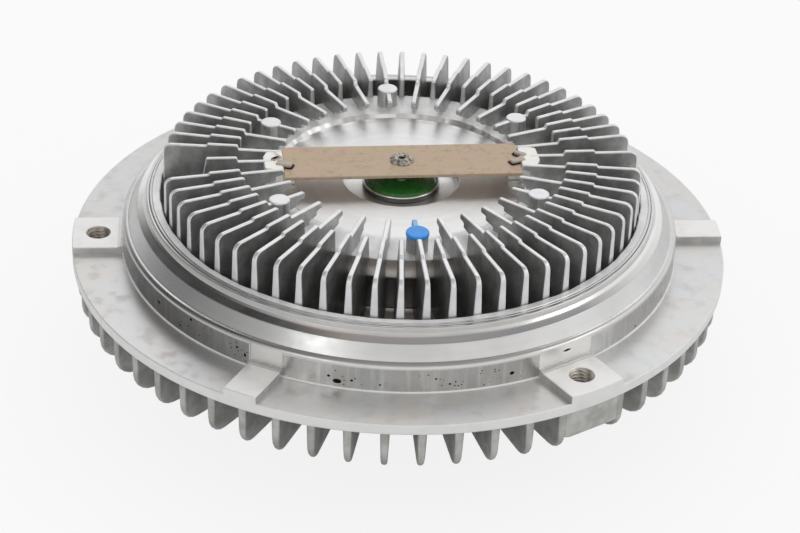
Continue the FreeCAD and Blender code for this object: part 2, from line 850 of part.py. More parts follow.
def draw_pad(sketch, width):
    """A pad's outline: straight sides, and an outer end that follows the flange's rim."""
    half = width / 2
    inner = wall_radius - s.fan_flange_thickness / 2
    reach = math.sqrt(fan_flange_radius.value ** 2 - half.value ** 2)
    low = FreeCAD.Vector(inner.value, -half.value, 0)
    high = FreeCAD.Vector(inner.value, half.value, 0)
    low_end = FreeCAD.Vector(reach, -half.value, 0)
    high_end = FreeCAD.Vector(reach, half.value, 0)
    rim = Part.Circle(FreeCAD.Vector(), FreeCAD.Vector(0, 0, 1), fan_flange_radius.value)
    swing = math.asin(half.value / fan_flange_radius.value)
    bottom = sketch.addGeometry(Part.LineSegment(low, low_end))
    top = sketch.addGeometry(Part.LineSegment(high_end, high))
    inside = sketch.addGeometry(Part.LineSegment(high, low))
    outside = sketch.addGeometry(Part.ArcOfCircle(rim, -swing, swing))
    sketch.addConstraint(Sketcher.Constraint("Coincident", inside, 2, bottom, 1))
    sketch.addConstraint(Sketcher.Constraint("Coincident", top, 2, inside, 1))
    sketch.addConstraint(Sketcher.Constraint("Coincident", bottom, 2, outside, 1))
    sketch.addConstraint(Sketcher.Constraint("Coincident", outside, 2, top, 1))
    sketch.addConstraint(Sketcher.Constraint("Coincident", outside, 3, -1, 1))
    sketch.addConstraint(Sketcher.Constraint("Horizontal", bottom))
    sketch.addConstraint(Sketcher.Constraint("Horizontal", top))
    index = sketch.addConstraint(Sketcher.Constraint("Radius", outside, fan_flange_radius.value))
    bind(sketch, f"Constraints[{index}]", fan_flange_radius)
    hold_point(sketch, inside, 2, inner, -half)
    hold_point(sketch, inside, 1, inner, half)


def fin_outline(inner_end):
    """A front fin's outline from the casting's ring inwards, closed by its inner end and foot."""
    ring_middle = (ring_inner_radius + s.neck_radius) / 2
    return [
        (ring_middle, channel_middle),
        (ring_middle, ring_top - s.fin_root),
        (fin_outer_radius, ring_top - s.fin_root),
        (fin_outer_radius, fin_outer_top, s.fin_outer_corner),
        (fin_land_outer_radius, fin_outer_top),
        (fin_land_outer_radius, fin_land_top),
        (fin_land_inner_radius, fin_land_top),
    ] + inner_end + [
        (drum_wall_middle, plateau - s.fin_root),
        (drum_wall_middle, channel_middle),
    ]


def front_fin(body, name, outline, turn):
    drafted_fin(
        body, name, outline, turn,
        channel_floor, s.fin_foot, fin_land_top, s.fin_edge,
    )


def make_front_fins():
    """Long and short fins in turn on each side of the strip, and one fin at each end of it."""
    place = 360 / s.fin_places
    per_side = s.fin_places / 4 - 0.5
    tip_under = fin_inner_top - s.fin_tip_drop
    tip_root = fin_tip_radius + s.fin_tip_length

    long_fins = new_body("long_fins")
    front_fin(long_fins, "long_fin", fin_outline([
        (fin_land_inner_radius, fin_inner_top),
        (fin_tip_radius, fin_inner_top),
        (fin_tip_radius, tip_under),
        (tip_root, tip_under - s.fin_tip_slope),
        (tip_root, plateau + s.fin_neck_rise),
        (fin_step_radius, plateau + s.fin_step_rise),
        (fin_step_radius, plateau - s.fin_root),
    ]), 1.5 * place)
    around(long_fins, "long_fin_row", [], per_side, (per_side - 1) * 2 * place)
    mirrored(long_fins, "long_fin_rows", "XZ_Plane")

    short_fins = new_body("short_fins")
    front_fin(short_fins, "short_fin", fin_outline([
        (fin_land_inner_radius, plateau - s.fin_root),
    ]), 2.5 * place)
    around(short_fins, "short_fin_row", [], per_side - 1, (per_side - 2) * 2 * place)
    mirrored(short_fins, "short_fin_rows", "XZ_Plane")

    lug_middle = s.strip_length / 2 + s.strip_end_play + s.lug_length / 2
    end_fin = new_body("end_fin")
    front_fin(end_fin, "whole_end_fin", fin_outline([
        (fin_land_inner_radius, fin_inner_top),
        (lug_middle, fin_inner_top),
        (lug_middle, plateau - s.fin_root),
    ]), None)

    broken_fin = new_body("broken_fin")
    front_fin(broken_fin, "broken_end_fin", [
        (fin_land_outer_radius + s.cut_fin_lean, channel_middle),
        (fin_land_outer_radius + s.cut_fin_lean, channel_floor),
        (fin_land_outer_radius, fin_land_top),
        (fin_land_inner_radius, fin_land_top),
        (fin_land_inner_radius, fin_inner_top),
        (lug_middle, fin_inner_top),
        (lug_middle, plateau - s.fin_root),
        (drum_wall_middle, plateau - s.fin_root),
        (drum_wall_middle, channel_middle),
    ], as_size(180))

    bosses = new_body("casting_bosses")
    foot = plateau - s.fin_root
    boss = new_sketch(bosses, "boss_outline", "XY_Plane", lift=foot, turn=5.5 * place)
    draw_circle(boss, s.casting_boss_circle, 0, s.casting_boss_radius)
    padded(bosses, "boss", boss, fin_land_top - s.casting_boss_drop - foot)
    around(bosses, "boss_row", [], 3, 20 * place)
    mirrored(bosses, "boss_rows", "XZ_Plane")
    return [long_fins, short_fins, end_fin, broken_fin, bosses]


def make_strip_lugs():
    """The cast lug at each end of the strip: a seat below it, a stop behind it and a staked tab over it."""
    body = new_body("strip_lugs")
    strip_end = s.strip_length / 2
    stop = strip_end + s.strip_end_play
    foot = plateau - s.fin_root
    blocks = (
        ("seat", strip_end - s.lug_seat_length, stop + s.fin_root, s.lug_seat_width, foot, strip_underside),
        ("stop", stop, stop + s.lug_length, s.lug_width, foot, strip_top + s.lug_rise),
        (
            "tab", strip_end - s.tab_length, stop + s.fin_root, s.tab_width,
            strip_top + s.tab_play, strip_top + s.tab_play + s.tab_thickness,
        ),
    )
    for name, near, far, width, bottom, top in blocks:
        sketch = new_sketch(body, name + "_outline", "XY_Plane", lift=bottom)
        draw_outline(sketch, [
            (near, -width / 2),
            (far, -width / 2),
            (far, width / 2),
            (near, width / 2),
        ])
        padded(body, name, sketch, top - bottom)
    mirrored(body, "lug_pair", "YZ_Plane")
    return body


def make_cover():
    """The finned front casting, held in the housing by the rolled lip."""
    additions = make_front_fins() + [make_strip_lugs()]
    body = new_body("cover")
    groove_floor = rim_radius - s.seal_groove_depth
    groove_top = groove_foot + s.seal_ring_width + 2 * s.seal_groove_play
    ceiling = disc - s.drum_ceiling
    dish_ceiling = dish - s.drum_ceiling
    dish_wall = s.dish_radius + s.drum_ceiling
    boss_end = dish - s.pin_boss_depth
    ridge_foot = cover_underside - s.ridge_height
    outline = [
        (pin_hole_radius, boss_end),
        (s.pin_boss_radius, boss_end),
        (s.pin_boss_radius, dish_ceiling),
        (dish_wall, dish_ceiling),
        (dish_wall, ceiling),
        (drum_inside, ceiling),
        (drum_inside, plate_seat),
        (plate_seat_radius, plate_seat),
        (plate_seat_radius, cover_underside),
    ]
    for place in (0, 1):
        inner = first_ridge_radius + place * ridge_pitch
        outer = inner + s.ridge_thickness
        outline += [
            (inner, cover_underside), (inner, ridge_foot), (outer, ridge_foot), (outer, cover_underside),
        ]
    outline += [
        (spigot_radius, cover_underside),
        (spigot_radius, cover_seat),
        (rim_radius, cover_seat),
        (rim_radius, groove_foot),
        (groove_floor, groove_foot),
        (groove_floor, groove_top),
        (rim_radius, groove_top),
        (rim_radius, rim_top),
        (s.neck_radius, neck_foot),
        (s.neck_radius, ring_top),
        (ring_inner_radius, ring_top),
        (ring_inner_radius, channel_floor),
        (s.drum_radius, channel_floor),
        (s.drum_radius, plateau - s.drum_chamfer),
        (s.drum_radius - s.drum_chamfer, plateau),
        (plateau_inner_radius, plateau),
        (s.disc_radius, disc),
        (s.dish_radius, disc),
        (s.dish_radius, dish),
        (pin_hole_radius, dish),
    ]
    turned(body, "casting", outline)
    joined(body, "finned_cover", additions)
    turn_with_cover(body)
    return body


def turn_with_cover(body):
    """Turns a piece about the axis by the angle at which the cover sits in the housing."""
    body.Placement = FreeCAD.Placement(
        FreeCAD.Vector(), FreeCAD.Rotation(FreeCAD.Vector(0, 0, 1), s.cover_angle.value)
    )
    bind(body, "Placement.Rotation.Angle", s.cover_angle)


def make_cover_seal():
    """The square-cut rubber ring in the groove round the cover's rim."""
    body = new_body("cover_seal")
    inside = rim_radius - s.seal_groove_depth + s.seal_groove_play / 2
    outside = rim_radius + s.rim_clearance / 2
    bottom = groove_foot + s.seal_groove_play
    top = bottom + s.seal_ring_width
    turned(body, "seal_ring", [(inside, bottom), (outside, bottom), (outside, top), (inside, top)])
    return body


def make_separator_plate():
    """The steel disc between the fluid store in the drum and the working chamber."""
    body = new_body("separator_plate")
    bottom = plate_seat - s.plate_thickness
    sketch = new_sketch(body, "plate_outline", "XY_Plane", lift=bottom)
    draw_circle(sketch, 0, 0, plate_seat_radius - s.plate_clearance)
    draw_circle(sketch, s.feed_port_distance, 0, s.feed_port_radius)
    draw_circle(sketch, -s.rivet_distance, 0, s.rivet_shank_radius)
    draw_circle(sketch, 0, s.return_port_distance, s.return_port_radius)
    draw_circle(sketch, 0, -s.return_port_distance, s.return_port_radius)
    padded(body, "plate", sketch, s.plate_thickness)
    turn_with_cover(body)
    return body


def make_valve_lever():
    """The spring-steel arm that covers the feed port until the pin lets it rise."""
    body = new_body("valve_lever")
    sketch = new_sketch(body, "lever_outline", "XY_Plane", lift=plate_seat)
    root = -s.lever_pivot_distance
    tip = s.feed_port_distance + s.feed_port_radius + s.lever_end_margin
    half = s.lever_width / 2
    draw_outline(sketch, [
        (root, -half),
        (tip, -half, s.lever_end_margin),
        (tip, half, s.lever_end_margin),
        (root, half),
    ])
    draw_circle(sketch, -s.rivet_distance, 0, s.rivet_shank_radius + s.rivet_hole_play)
    padded(body, "arm", sketch, s.lever_thickness)
    turn_with_cover(body)
    return body


def make_lever_rivet():
    body = new_body("lever_rivet")
    plate_bottom = plate_seat - s.plate_thickness
    head_bottom = plate_seat + s.lever_thickness + s.rivet_lift
    stages = (
        ("tail", s.rivet_head_radius, plate_bottom - s.rivet_tail_height, plate_bottom),
        ("shank", s.rivet_shank_radius, plate_bottom, head_bottom),
        ("head", s.rivet_head_radius, head_bottom, head_bottom + s.rivet_head_height),
    )
    for name, radius, bottom, top in stages:
        sketch = new_sketch(body, "rivet_" + name + "_outline", "XY_Plane", lift=bottom)
        draw_circle(sketch, -s.rivet_distance, 0, radius)
        padded(body, "rivet_" + name, sketch, top - bottom)
    turn_with_cover(body)
    return body


def make_actuating_pin():
    """The pin from the lever up through the cover, with its head on the strip."""
    body = new_body("actuating_pin")
    tip = plate_seat + s.lever_thickness + s.pin_tip_gap
    head_top = strip_top + s.pin_head_height
    turned(body, "pin", [
        (0, tip),
        (s.pin_tip_radius, tip),
        (s.pin_radius, tip + s.pin_tip_length),
        (s.pin_radius, strip_top),
        (s.pin_head_radius, strip_top),
        (s.pin_head_radius, strip_top + s.pin_head_height / 2),
        (s.pin_head_radius - s.pin_head_height / 2, head_top),
        (s.pin_head_dimple, head_top),
        (s.pin_head_dimple, head_top - s.pin_head_height / 2),
        (0, head_top - s.pin_head_height / 2),
    ])
    return body


def make_pin_seal():
    """The thin metal case in the cover's dish, and the rubber diaphragm that it holds round the pin."""
    case = new_body("pin_seal_case")
    case_inside = s.case_radius - s.case_wall
    case_floor = dish + s.case_wall
    case_top = dish + s.case_height
    turned(case, "case", [
        (s.case_hole_radius, dish),
        (s.case_radius, dish),
        (s.case_radius, case_top),
        (case_inside, case_top),
        (case_inside, case_floor),
        (s.case_hole_radius, case_floor),
    ])
    rubber = new_body("pin_diaphragm")
    crown = case_top + s.diaphragm_crown
    turned(rubber, "diaphragm", [
        (pin_hole_radius, case_floor),
        (case_inside, case_floor),
        (case_inside, case_top + s.diaphragm_rise),
        (s.diaphragm_nose_radius, crown),
        (pin_hole_radius, crown),
    ])


def make_strip():
    """The flat bimetal strip that bows outwards as it warms, and draws the pin with it."""
    body = new_body("bimetal_strip")
    sketch = new_sketch(body, "strip_outline", "XY_Plane", lift=strip_underside)
    half_length = s.strip_length / 2
    half_width = s.strip_width / 2
    draw_outline(sketch, [
        (-half_length, -half_width),
        (half_length, -half_width),
        (half_length, half_width),
        (-half_length, half_width),
    ])
    draw_circle(sketch, 0, 0, s.pin_radius + s.strip_hole_play)
    padded(body, "strip", sketch, s.strip_thickness)
    turn_with_cover(body)
    return body


make_shaft()
make_rotor()
make_rotor_washer()
make_rotor_screw()
make_bearing()
make_snap_ring()
make_housing()
make_cover()
make_cover_seal()
make_separator_plate()
make_valve_lever()
make_lever_rivet()
make_actuating_pin()
make_pin_seal()
make_strip()

doc.recompute()
os.makedirs("parts", exist_ok=True)
for thing in doc.Objects:
    if "Invalid" in thing.State or "Error" in thing.State:
        raise RuntimeError(f"{thing.Label} did not build: {thing.getStatusString()}")
bodies = [thing for thing in doc.Objects if thing.TypeId == "PartDesign::Body" and thing not in used_up]
for body in bodies:
    if body.Shape.isNull() or not body.Shape.isValid():
        raise RuntimeError(f"{body.Label} is not a valid solid")
for body in bodies:
    print(body.Label, len(body.Shape.Solids), "solids,", round(body.Shape.Volume, 1), "mm3")
    body.Shape.exportStep(f"parts/{body.Label}.step")
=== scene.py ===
# %% [markdown]
# # A viscous fan clutch
# The clutch drives an engine's cooling fan. A flanged shaft turns a disc in a bath of silicone oil,
# and the oil drags round a finned aluminium casing that carries the fan. This lesson starts from
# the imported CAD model, which says where each piece is and how big it is, and gives the castings
# their rounded edges, their threads, their pores and their finishes.

import bpy
import numpy as np
from mathutils import Matrix, Vector


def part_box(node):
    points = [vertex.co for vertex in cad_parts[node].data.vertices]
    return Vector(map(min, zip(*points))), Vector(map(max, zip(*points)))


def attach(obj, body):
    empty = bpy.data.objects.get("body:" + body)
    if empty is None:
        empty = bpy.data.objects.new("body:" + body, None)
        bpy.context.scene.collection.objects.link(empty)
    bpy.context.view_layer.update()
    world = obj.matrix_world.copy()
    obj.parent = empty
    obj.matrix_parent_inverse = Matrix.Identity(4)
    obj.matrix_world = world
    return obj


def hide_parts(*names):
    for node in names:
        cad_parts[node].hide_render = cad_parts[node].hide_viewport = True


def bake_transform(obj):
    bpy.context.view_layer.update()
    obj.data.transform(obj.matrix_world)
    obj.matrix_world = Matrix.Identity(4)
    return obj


MM = 0.001
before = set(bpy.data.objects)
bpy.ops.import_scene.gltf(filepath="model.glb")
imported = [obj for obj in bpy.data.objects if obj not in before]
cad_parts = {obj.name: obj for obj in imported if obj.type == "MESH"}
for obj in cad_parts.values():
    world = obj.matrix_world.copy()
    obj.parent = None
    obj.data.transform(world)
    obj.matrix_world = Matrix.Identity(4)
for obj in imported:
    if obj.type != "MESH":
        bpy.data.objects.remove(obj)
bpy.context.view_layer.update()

# %% [markdown]
# ## Sizes
# Everything below is in millimetres. The sizes that the frame knows are measured from it, so the
# new pieces land on the old ones. `half_width` gives a turned piece's radius, and `low` and `high`
# give the heights at which it starts and ends. They could be typed in, but then they would stay
# behind when the CAD changes. On the cover, the plateau is the top of the drum, the disc is the
# turned face inside it, and the dish is the hollow in its middle. The cover stands in the housing
# turned by `cover_turn` degrees.

# %% Measure the frame


def half_width(node):
    lowest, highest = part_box(node)
    return (highest.x - lowest.x) / 2 / MM


def low(node):
    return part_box(node)[0].z / MM


def high(node):
    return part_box(node)[1].z / MM


flange_radius = half_width("housing")
bearing_radius = half_width("bearing_outer_race")
bearing_low, bearing_high = low("bearing_outer_race"), high("bearing_outer_race")
chamber_floor = bearing_high + 3.2
lip_top = high("housing")
neck_radius = half_width("cover") - 1.8
strip_low, strip_top = low("bimetal_strip"), high("bimetal_strip")
plateau = strip_top - 5.0
disc_level = plateau - 1.7
dish_level = low("pin_seal_case")
fin_top = high("cover")
cover_turn = 1.8
print(f"flange radius {flange_radius:.2f} mm, lip at {lip_top:.2f} mm, fins up to {fin_top:.2f} mm")

# %% [markdown]
# ## The camera
# A clutch is photographed like a small building: from a good distance with a long lens, so that
# its rings stay true ellipses. The camera stands 824 mm off, about 32 degrees up, and leans by 2
# degrees. A Track To constraint could aim it, but not lean it, so its three axes are worked out
# from those angles.

# %% Place the camera
view_azimuth, view_elevation, view_lean = np.radians([-5.06, 31.668, 2.21])
view_distance = 824.0
view_centre = np.array([0.84, -0.07, 35.45])

towards = -np.array([
    np.sin(view_azimuth) * np.cos(view_elevation),
    -np.cos(view_azimuth) * np.cos(view_elevation),
    np.sin(view_elevation),
])
level_right = np.cross(towards, [0.0, 0.0, 1.0])
level_right /= np.linalg.norm(level_right)
level_up = np.cross(level_right, towards)
right = np.cos(view_lean) * level_right + np.sin(view_lean) * level_up
up = np.cos(view_lean) * level_up - np.sin(view_lean) * level_right
eye = (view_centre - view_distance * towards) * MM

camera = bpy.data.objects.new("camera", bpy.data.cameras.new("camera"))
camera.data.lens = 103.5
camera.data.sensor_width = 36.0
camera.matrix_world = Matrix([
    [right[0], up[0], -towards[0], eye[0]],
    [right[1], up[1], -towards[1], eye[1]],
    [right[2], up[2], -towards[2], eye[2]],
    [0, 0, 0, 1],
])
bpy.context.collection.objects.link(camera)
bpy.context.scene.camera = camera
print("camera at", np.round(eye / MM, 1), "mm")

# %% [markdown]
# ## Node maths as Python
# Finishes are built from nodes, in millimetres on the piece itself, so they need no unwrapping and
# no pictures. A `Signal` wraps one socket, so `1 - mask * 0.3` adds the Math nodes by itself. Every
# other node comes from `Shader.node`, which takes the node's type, its settings and what goes into
# its sockets.

# %% Signals


class Signal:
    """One output socket that takes part in sums."""

    def __init__(self, shader, socket):
        self.shader, self.socket = shader, socket

    def maths(self, operation, other, flipped=False):
        pair = (other, self) if flipped else (self, other)
        return self.shader.node("ShaderNodeMath", {"operation": operation}, dict(enumerate(pair)))

    def __add__(self, other):
        return self.maths("ADD", other)

    def __sub__(self, other):
        return self.maths("SUBTRACT", other)

    def __rsub__(self, other):
        return self.maths("SUBTRACT", other, flipped=True)

    def __mul__(self, other):
        return self.maths("MULTIPLY", other)

    __radd__ = __add__
    __rmul__ = __mul__


# %% [markdown]
# A `Shader` holds one material's nodes while they are made. Its small methods name what the
# finishes ask for again and again: a place on the piece, a distance from the axis, a noise of some
# size, a colour between two others.

# %% Shaders


class Shader:
    """A node tree that is being built."""

    def __init__(self, tree):
        self.tree = tree
        tree.nodes.clear()

    def node(self, kind, settings=None, inputs=None, output=0):
        """A new node, with its settings made first and its sockets filled or linked after them."""
        made = self.tree.nodes.new(kind)
        for name, value in (settings or {}).items():
            if name == "stops":
                self.set_stops(made.color_ramp.elements, value)
            else:
                setattr(made, name, value)
        for key, value in (inputs or {}).items():
            if isinstance(value, Signal):
                self.tree.links.new(value.socket, made.inputs[key])
            else:
                made.inputs[key].default_value = value
        return Signal(self, made.outputs[output]) if made.outputs else None

    def set_stops(self, elements, stops):
        while len(elements) < len(stops):
            elements.new(1.0)
        for element, (position, colour) in zip(elements, stops):
            element.position = position
            element.color = (*colour, 1.0)

    def vector_maths(self, operation, inputs, output=0):
        return self.node("ShaderNodeVectorMath", {"operation": operation}, inputs, output)

    def place(self):
        """The point on the piece, in millimetres."""
        point = self.node("ShaderNodeTexCoord", output="Object")
        return self.vector_maths("SCALE", {"Vector": point, "Scale": 1 / MM})

    def split(self, vector):
        """The vector's three parts."""
        parts = self.node("ShaderNodeSeparateXYZ", None, {"Vector": vector}).socket.node.outputs
        return [Signal(self, part) for part in parts]

    def joined(self, x=0.0, y=0.0, z=0.0):
        return self.node("ShaderNodeCombineXYZ", None, {"X": x, "Y": y, "Z": z})

    def radius(self, vector):
        """The distance from the axis: the length of the vector without its height."""
        flat = self.vector_maths("MULTIPLY", {0: vector, 1: (1, 1, 0)})
        return self.vector_maths("LENGTH", {0: flat}, "Value")

    def noise(self, vector, size, detail=2.0, roughness=0.5):
        """Cloudy noise from 0 to 1 whose clouds are about size millimetres across."""
        return self.node("ShaderNodeTexNoise", None, {
            "Vector": vector, "Scale": 1 / size, "Detail": detail, "Roughness": roughness,
        }, "Fac")

    def spread(self, value, start, end, to_low=0.0, to_high=1.0):
        """Maps start..end to to_low..to_high, with a soft shoulder at each end."""
        return self.node("ShaderNodeMapRange", {"interpolation_type": "SMOOTHSTEP"}, {
            "Value": value, "From Min": start, "From Max": end, "To Min": to_low, "To Max": to_high,
        })

    def tint(self, share, first, second):
        """The first colour where share is 0 and the second where it is 1."""
        colours = [
            colour if isinstance(colour, Signal) else (*colour, 1.0) for colour in (first, second)
        ]
        return self.node(
            "ShaderNodeMix", {"data_type": "RGBA"}, {0: share, 6: colours[0], 7: colours[1]}, 2
        )


# %% [markdown]
# A recipe is a function that returns what goes into the Principled BSDF, by the socket's name. Each
# finish could link its own surface, but then a change to what they share would be made in all.

# %% Materials from recipes


def finish(name, recipe, **choices):
    """A material whose recipe gives the Principled BSDF's sockets by name, and perhaps a relief."""
    material = bpy.data.materials.new(name)
    material.use_nodes = True
    shader = Shader(material.node_tree)
    sockets = recipe(shader, **choices)
    relief, depth = sockets.pop("relief", None), sockets.pop("relief_depth", 0.01)
    if relief is not None:
        sockets["Normal"] = shader.node("ShaderNodeBump", None, {
            "Strength": 1.0, "Distance": depth * MM, "Height": relief,
        })
    surface = shader.node("ShaderNodeBsdfPrincipled", None, sockets)
    shader.node("ShaderNodeOutputMaterial", None, {"Surface": surface})
    return material


def dimmed(colour, share):
    return tuple(share * part for part in colour)


def grey(value):
    return (value,) * 3


# %% [markdown]
# ## Finishes of the castings
# The same die-cast aluminium shows four faces. Where a lathe has cut it, it is bright and carries
# fine rings. Where a mill has cut it, it is bright with a short criss-cross. Where nobody cut it,
# it keeps the grey skin of the die. Fin tops are skin too, painted lighter than the fins' sides as
# painted light.

# %% Turned aluminium


def ring_marks(shader, point, pitch):
    """Noise of radius and height alone: rings on a flat face, and hoops on a wall."""
    across = shader.joined(shader.radius(point), shader.split(point)[2])
    return shader.noise(across, pitch, detail=3.0, roughness=0.6)


def turned(shader, colour=(0.74, 0.74, 0.735), roughness=0.24, pitch=0.35, depth=0.002, stain=0.25):
    """Fine and wide rings, and clouds of stain that are darker and duller."""
    point = shader.place()
    marks = ring_marks(shader, point, pitch)
    wide_marks = shader.spread(ring_marks(shader, point, pitch * 9), 0.3, 0.7)
    clouds = shader.noise(point, 14.0, detail=5.0, roughness=0.6)
    worn = shader.spread(clouds, 0.35, 0.7)
    shade = shader.tint(worn * stain, colour, dimmed(colour, 0.72))
    return {
        "Base Color": shader.tint(wide_marks * 0.18, shade, grey(0.5)),
        "Metallic": 1.0,
        "Roughness": roughness + worn * 0.1 + marks * 0.06,
        "relief": marks,
        "relief_depth": depth,
    }


def wall_with_painted_streaks(shader):
    """A darker turned wall, with lighter streaks up and down it as painted reflections."""
    sockets = turned(shader, colour=(0.57, 0.57, 0.56), roughness=0.2, stain=0.5)
    x, y, z = shader.split(shader.place())
    # Lighter streaks up and down the wall: painted reflections.
    streaks = shader.noise(shader.joined(x, y, z * 0.12), 2.2, detail=3.0)
    streaks = shader.spread(streaks, 0.45, 0.75)
    sockets["Base Color"] = shader.tint(streaks * 0.45, sockets["Base Color"], (0.84, 0.83, 0.80))
    return sockets


def rubbed(shader, colour):
    """An edge or a face that is rubbed light: it scatters more than it mirrors."""
    point = shader.place()
    clouds = shader.noise(point, 5.0, detail=4.0)
    dark = shader.spread(clouds, 0.4, 0.75)
    return {
        "Base Color": shader.tint(dark * 0.3, colour, dimmed(colour, 0.8)),
        "Metallic": 0.5,
        "Roughness": 0.42 + clouds * 0.12,
        "relief": shader.noise(point, 0.5, detail=2.0),
        "relief_depth": 0.01,
    }


turned_aluminium = finish("turned_aluminium", turned)
wall_aluminium = finish("wall_aluminium", wall_with_painted_streaks)
band_aluminium = finish(
    "band_aluminium", turned,
    colour=(0.87, 0.865, 0.85), roughness=0.12, depth=0.001, stain=0.15,
)
edge_aluminium = finish("edge_aluminium", rubbed, colour=(0.88, 0.88, 0.87))
disc_aluminium = finish(
    "disc_aluminium", turned,
    colour=(0.93, 0.93, 0.925), roughness=0.31, pitch=0.5, depth=0.006, stain=0.08,
)
# The drum's shoulder between the fins is painted dark: painted shade.
drum_painted_shade = finish(
    "drum_painted_shade", turned,
    colour=(0.38, 0.36, 0.33), roughness=0.16, pitch=1.1, depth=0.03, stain=0.6,
)

# %% [markdown]
# The flange was turned too, but hands and weather have marked it: it is mottled, cool in one place
# and warm in another. A picture of stained metal would have to be unwrapped on to it, so noise of
# two sizes makes the clouds and the blotches.

# %% Stained flange face


def stained(shader):
    """A turned face that has been handled: cool and warm clouds, and darker, duller blotches."""
    point = shader.place()
    marks = ring_marks(shader, point, 0.4)
    clouds = shader.noise(point, 13.0, detail=8.0, roughness=0.66)
    blotches = shader.noise(point, 5.0, detail=4.0)
    warm = shader.spread(clouds, 0.42, 0.62)
    cool = shader.tint(warm, (0.735, 0.742, 0.748), (0.74, 0.718, 0.69))
    dark = shader.spread(blotches, 0.48, 0.72)
    return {
        "Base Color": shader.tint(dark * 0.3, cool, (0.54, 0.53, 0.51)),
        "Metallic": 0.85,
        "Roughness": 0.32 + dark * 0.1 + marks * 0.05,
        "relief": marks + blotches * 0.4,
        "relief_depth": 0.005,
    }


stained_aluminium = finish("stained_aluminium", stained)

# %% [markdown]
# The die's skin is grey and grainy, with clouds where the metal flowed. One recipe serves the fins'
# sides and tops, the ragged patches and the pores, since they differ only in a few numbers. Those
# numbers paint light and shade: the fins' sides are darker as painted shade, their tops and the
# patches lighter as painted light, and the pores black as painted shade. The grain is finer than
# any face of these meshes, so it is a bump and isn't modelled.

# %% Cast skin


def cast(shader, colour=(0.50, 0.505, 0.50), light=(0.64, 0.645, 0.64), roughness=0.45,
         grain=0.03, metal=0.7):
    """The die's skin: wide clouds where the metal flowed, and a fine grain in relief."""
    point = shader.place()
    fine = shader.noise(point, 0.55, detail=3.0, roughness=0.65)
    flow = shader.noise(point, 7.0, detail=5.0, roughness=0.6)
    return {
        "Base Color": shader.tint(shader.spread(flow, 0.35, 0.68), colour, light),
        "Metallic": metal,
        "Roughness": roughness + (fine - 0.5) * 0.25,
        "relief": fine + flow * 0.8,
        "relief_depth": grain,
    }


cast_aluminium = finish("cast_aluminium", cast)
# Fin sides and the channel under the ring are painted darker: painted shade.
painted_shade_skin = finish(
    "painted_shade_skin", cast,
    colour=(0.34, 0.345, 0.34), light=(0.56, 0.56, 0.55), roughness=0.34, grain=0.08, metal=0.75,
)
# The ragged patches of skin on upward faces are painted lighter: painted light.
patch_painted_light = finish(
    "patch_painted_light", cast,
    colour=grey(0.84), light=(0.98, 0.98, 0.975), roughness=0.4, grain=0.14, metal=0.4,
)
# Fin tops and outer ends are painted lighter: painted light.
fin_edge_painted_light = finish(
    "fin_edge_painted_light", cast,
    colour=(0.80, 0.81, 0.82), light=(0.90, 0.905, 0.91), roughness=0.34, grain=0.02, metal=0.65,
)
rear_fin_aluminium = finish(
    "rear_fin_aluminium", cast,
    colour=(0.43, 0.43, 0.41), light=(0.62, 0.62, 0.60), roughness=0.46, grain=0.07,
)
# Pores and the pin's hollow head are black as painted shade, and so is the low plate round each
# tongue, a painted shadow.
painted_shade_black = finish(
    "painted_shade_black", cast,
    colour=(0.035, 0.03, 0.025), light=(0.07, 0.06, 0.05), roughness=0.8, grain=0.05,
)

# %% [markdown]
# A face mill leaves arcs that cross, a tap leaves bright metal under oil, and a dab of paint is
# thin at its rim. Grooves could be cut for the arcs, but a bump shows the same at that size.

# %% Milled faces, threads and paint


def milled(shader, colour=(0.90, 0.895, 0.88)):
    """Two crossed sets of fine arcs, as a face mill leaves."""
    point = shader.place()
    x, y, z = shader.split(point)
    one_way = shader.noise(shader.joined(x * 0.2 + y, z), 0.35)
    other_way = shader.noise(shader.joined(x * 0.2 - y, z), 0.45)
    clouds = shader.noise(point, 6.0, detail=4.0)
    dull = shader.spread(clouds, 0.45, 0.75)
    return {
        "Base Color": shader.tint(dull * 0.3, colour, (0.70, 0.69, 0.67)),
        "Metallic": 0.65,
        "Roughness": 0.32 + clouds * 0.12,
        "relief": one_way + other_way,
        "relief_depth": 0.004,
    }


def threaded(shader):
    """Cut metal under a film of oil that gathers in brownish clouds."""
    oil = shader.noise(shader.place(), 1.5, detail=3.0)
    return {
        "Base Color": shader.tint(oil, (0.46, 0.42, 0.36), (0.70, 0.66, 0.60)),
        "Metallic": 0.9,
        "Roughness": 0.3 + oil * 0.2,
    }


def painted(shader):
    """A dab of marking paint, thin at its rim."""
    thin = shader.noise(shader.place(), 1.6, detail=3.0)
    return {
        "Base Color": shader.tint(thin, (0.025, 0.25, 0.80), (0.09, 0.40, 0.90)),
        "Metallic": 0.0,
        "Roughness": 0.32 + thin * 0.2,
        "relief": thin,
        "relief_depth": 0.08,
    }


milled_aluminium = finish("milled_aluminium", milled)
fresh_aluminium = finish("fresh_aluminium", milled, colour=(0.92, 0.90, 0.85))
paint_smear = finish("paint_smear", rubbed, colour=(0.33, 0.55, 0.84))
tongue_metal = finish("tongue_metal", rubbed, colour=(0.52, 0.46, 0.40))
thread_metal = finish("thread_metal", threaded)
marking_paint = finish("marking_paint", painted)
print("finishes so far:", len(bpy.data.materials))

# %% [markdown]
# ## Surfaces from arrays
# A turned piece is one profile carried round the axis: a grid of points with two parameters, the
# step along the profile and the angle. A fin, a pad or a lug is an outline carried across its own
# thickness. Spin, Extrude and Bevel would make shapes like these, but whole arrays take any formula
# and follow every changed size.

# %% Outlines


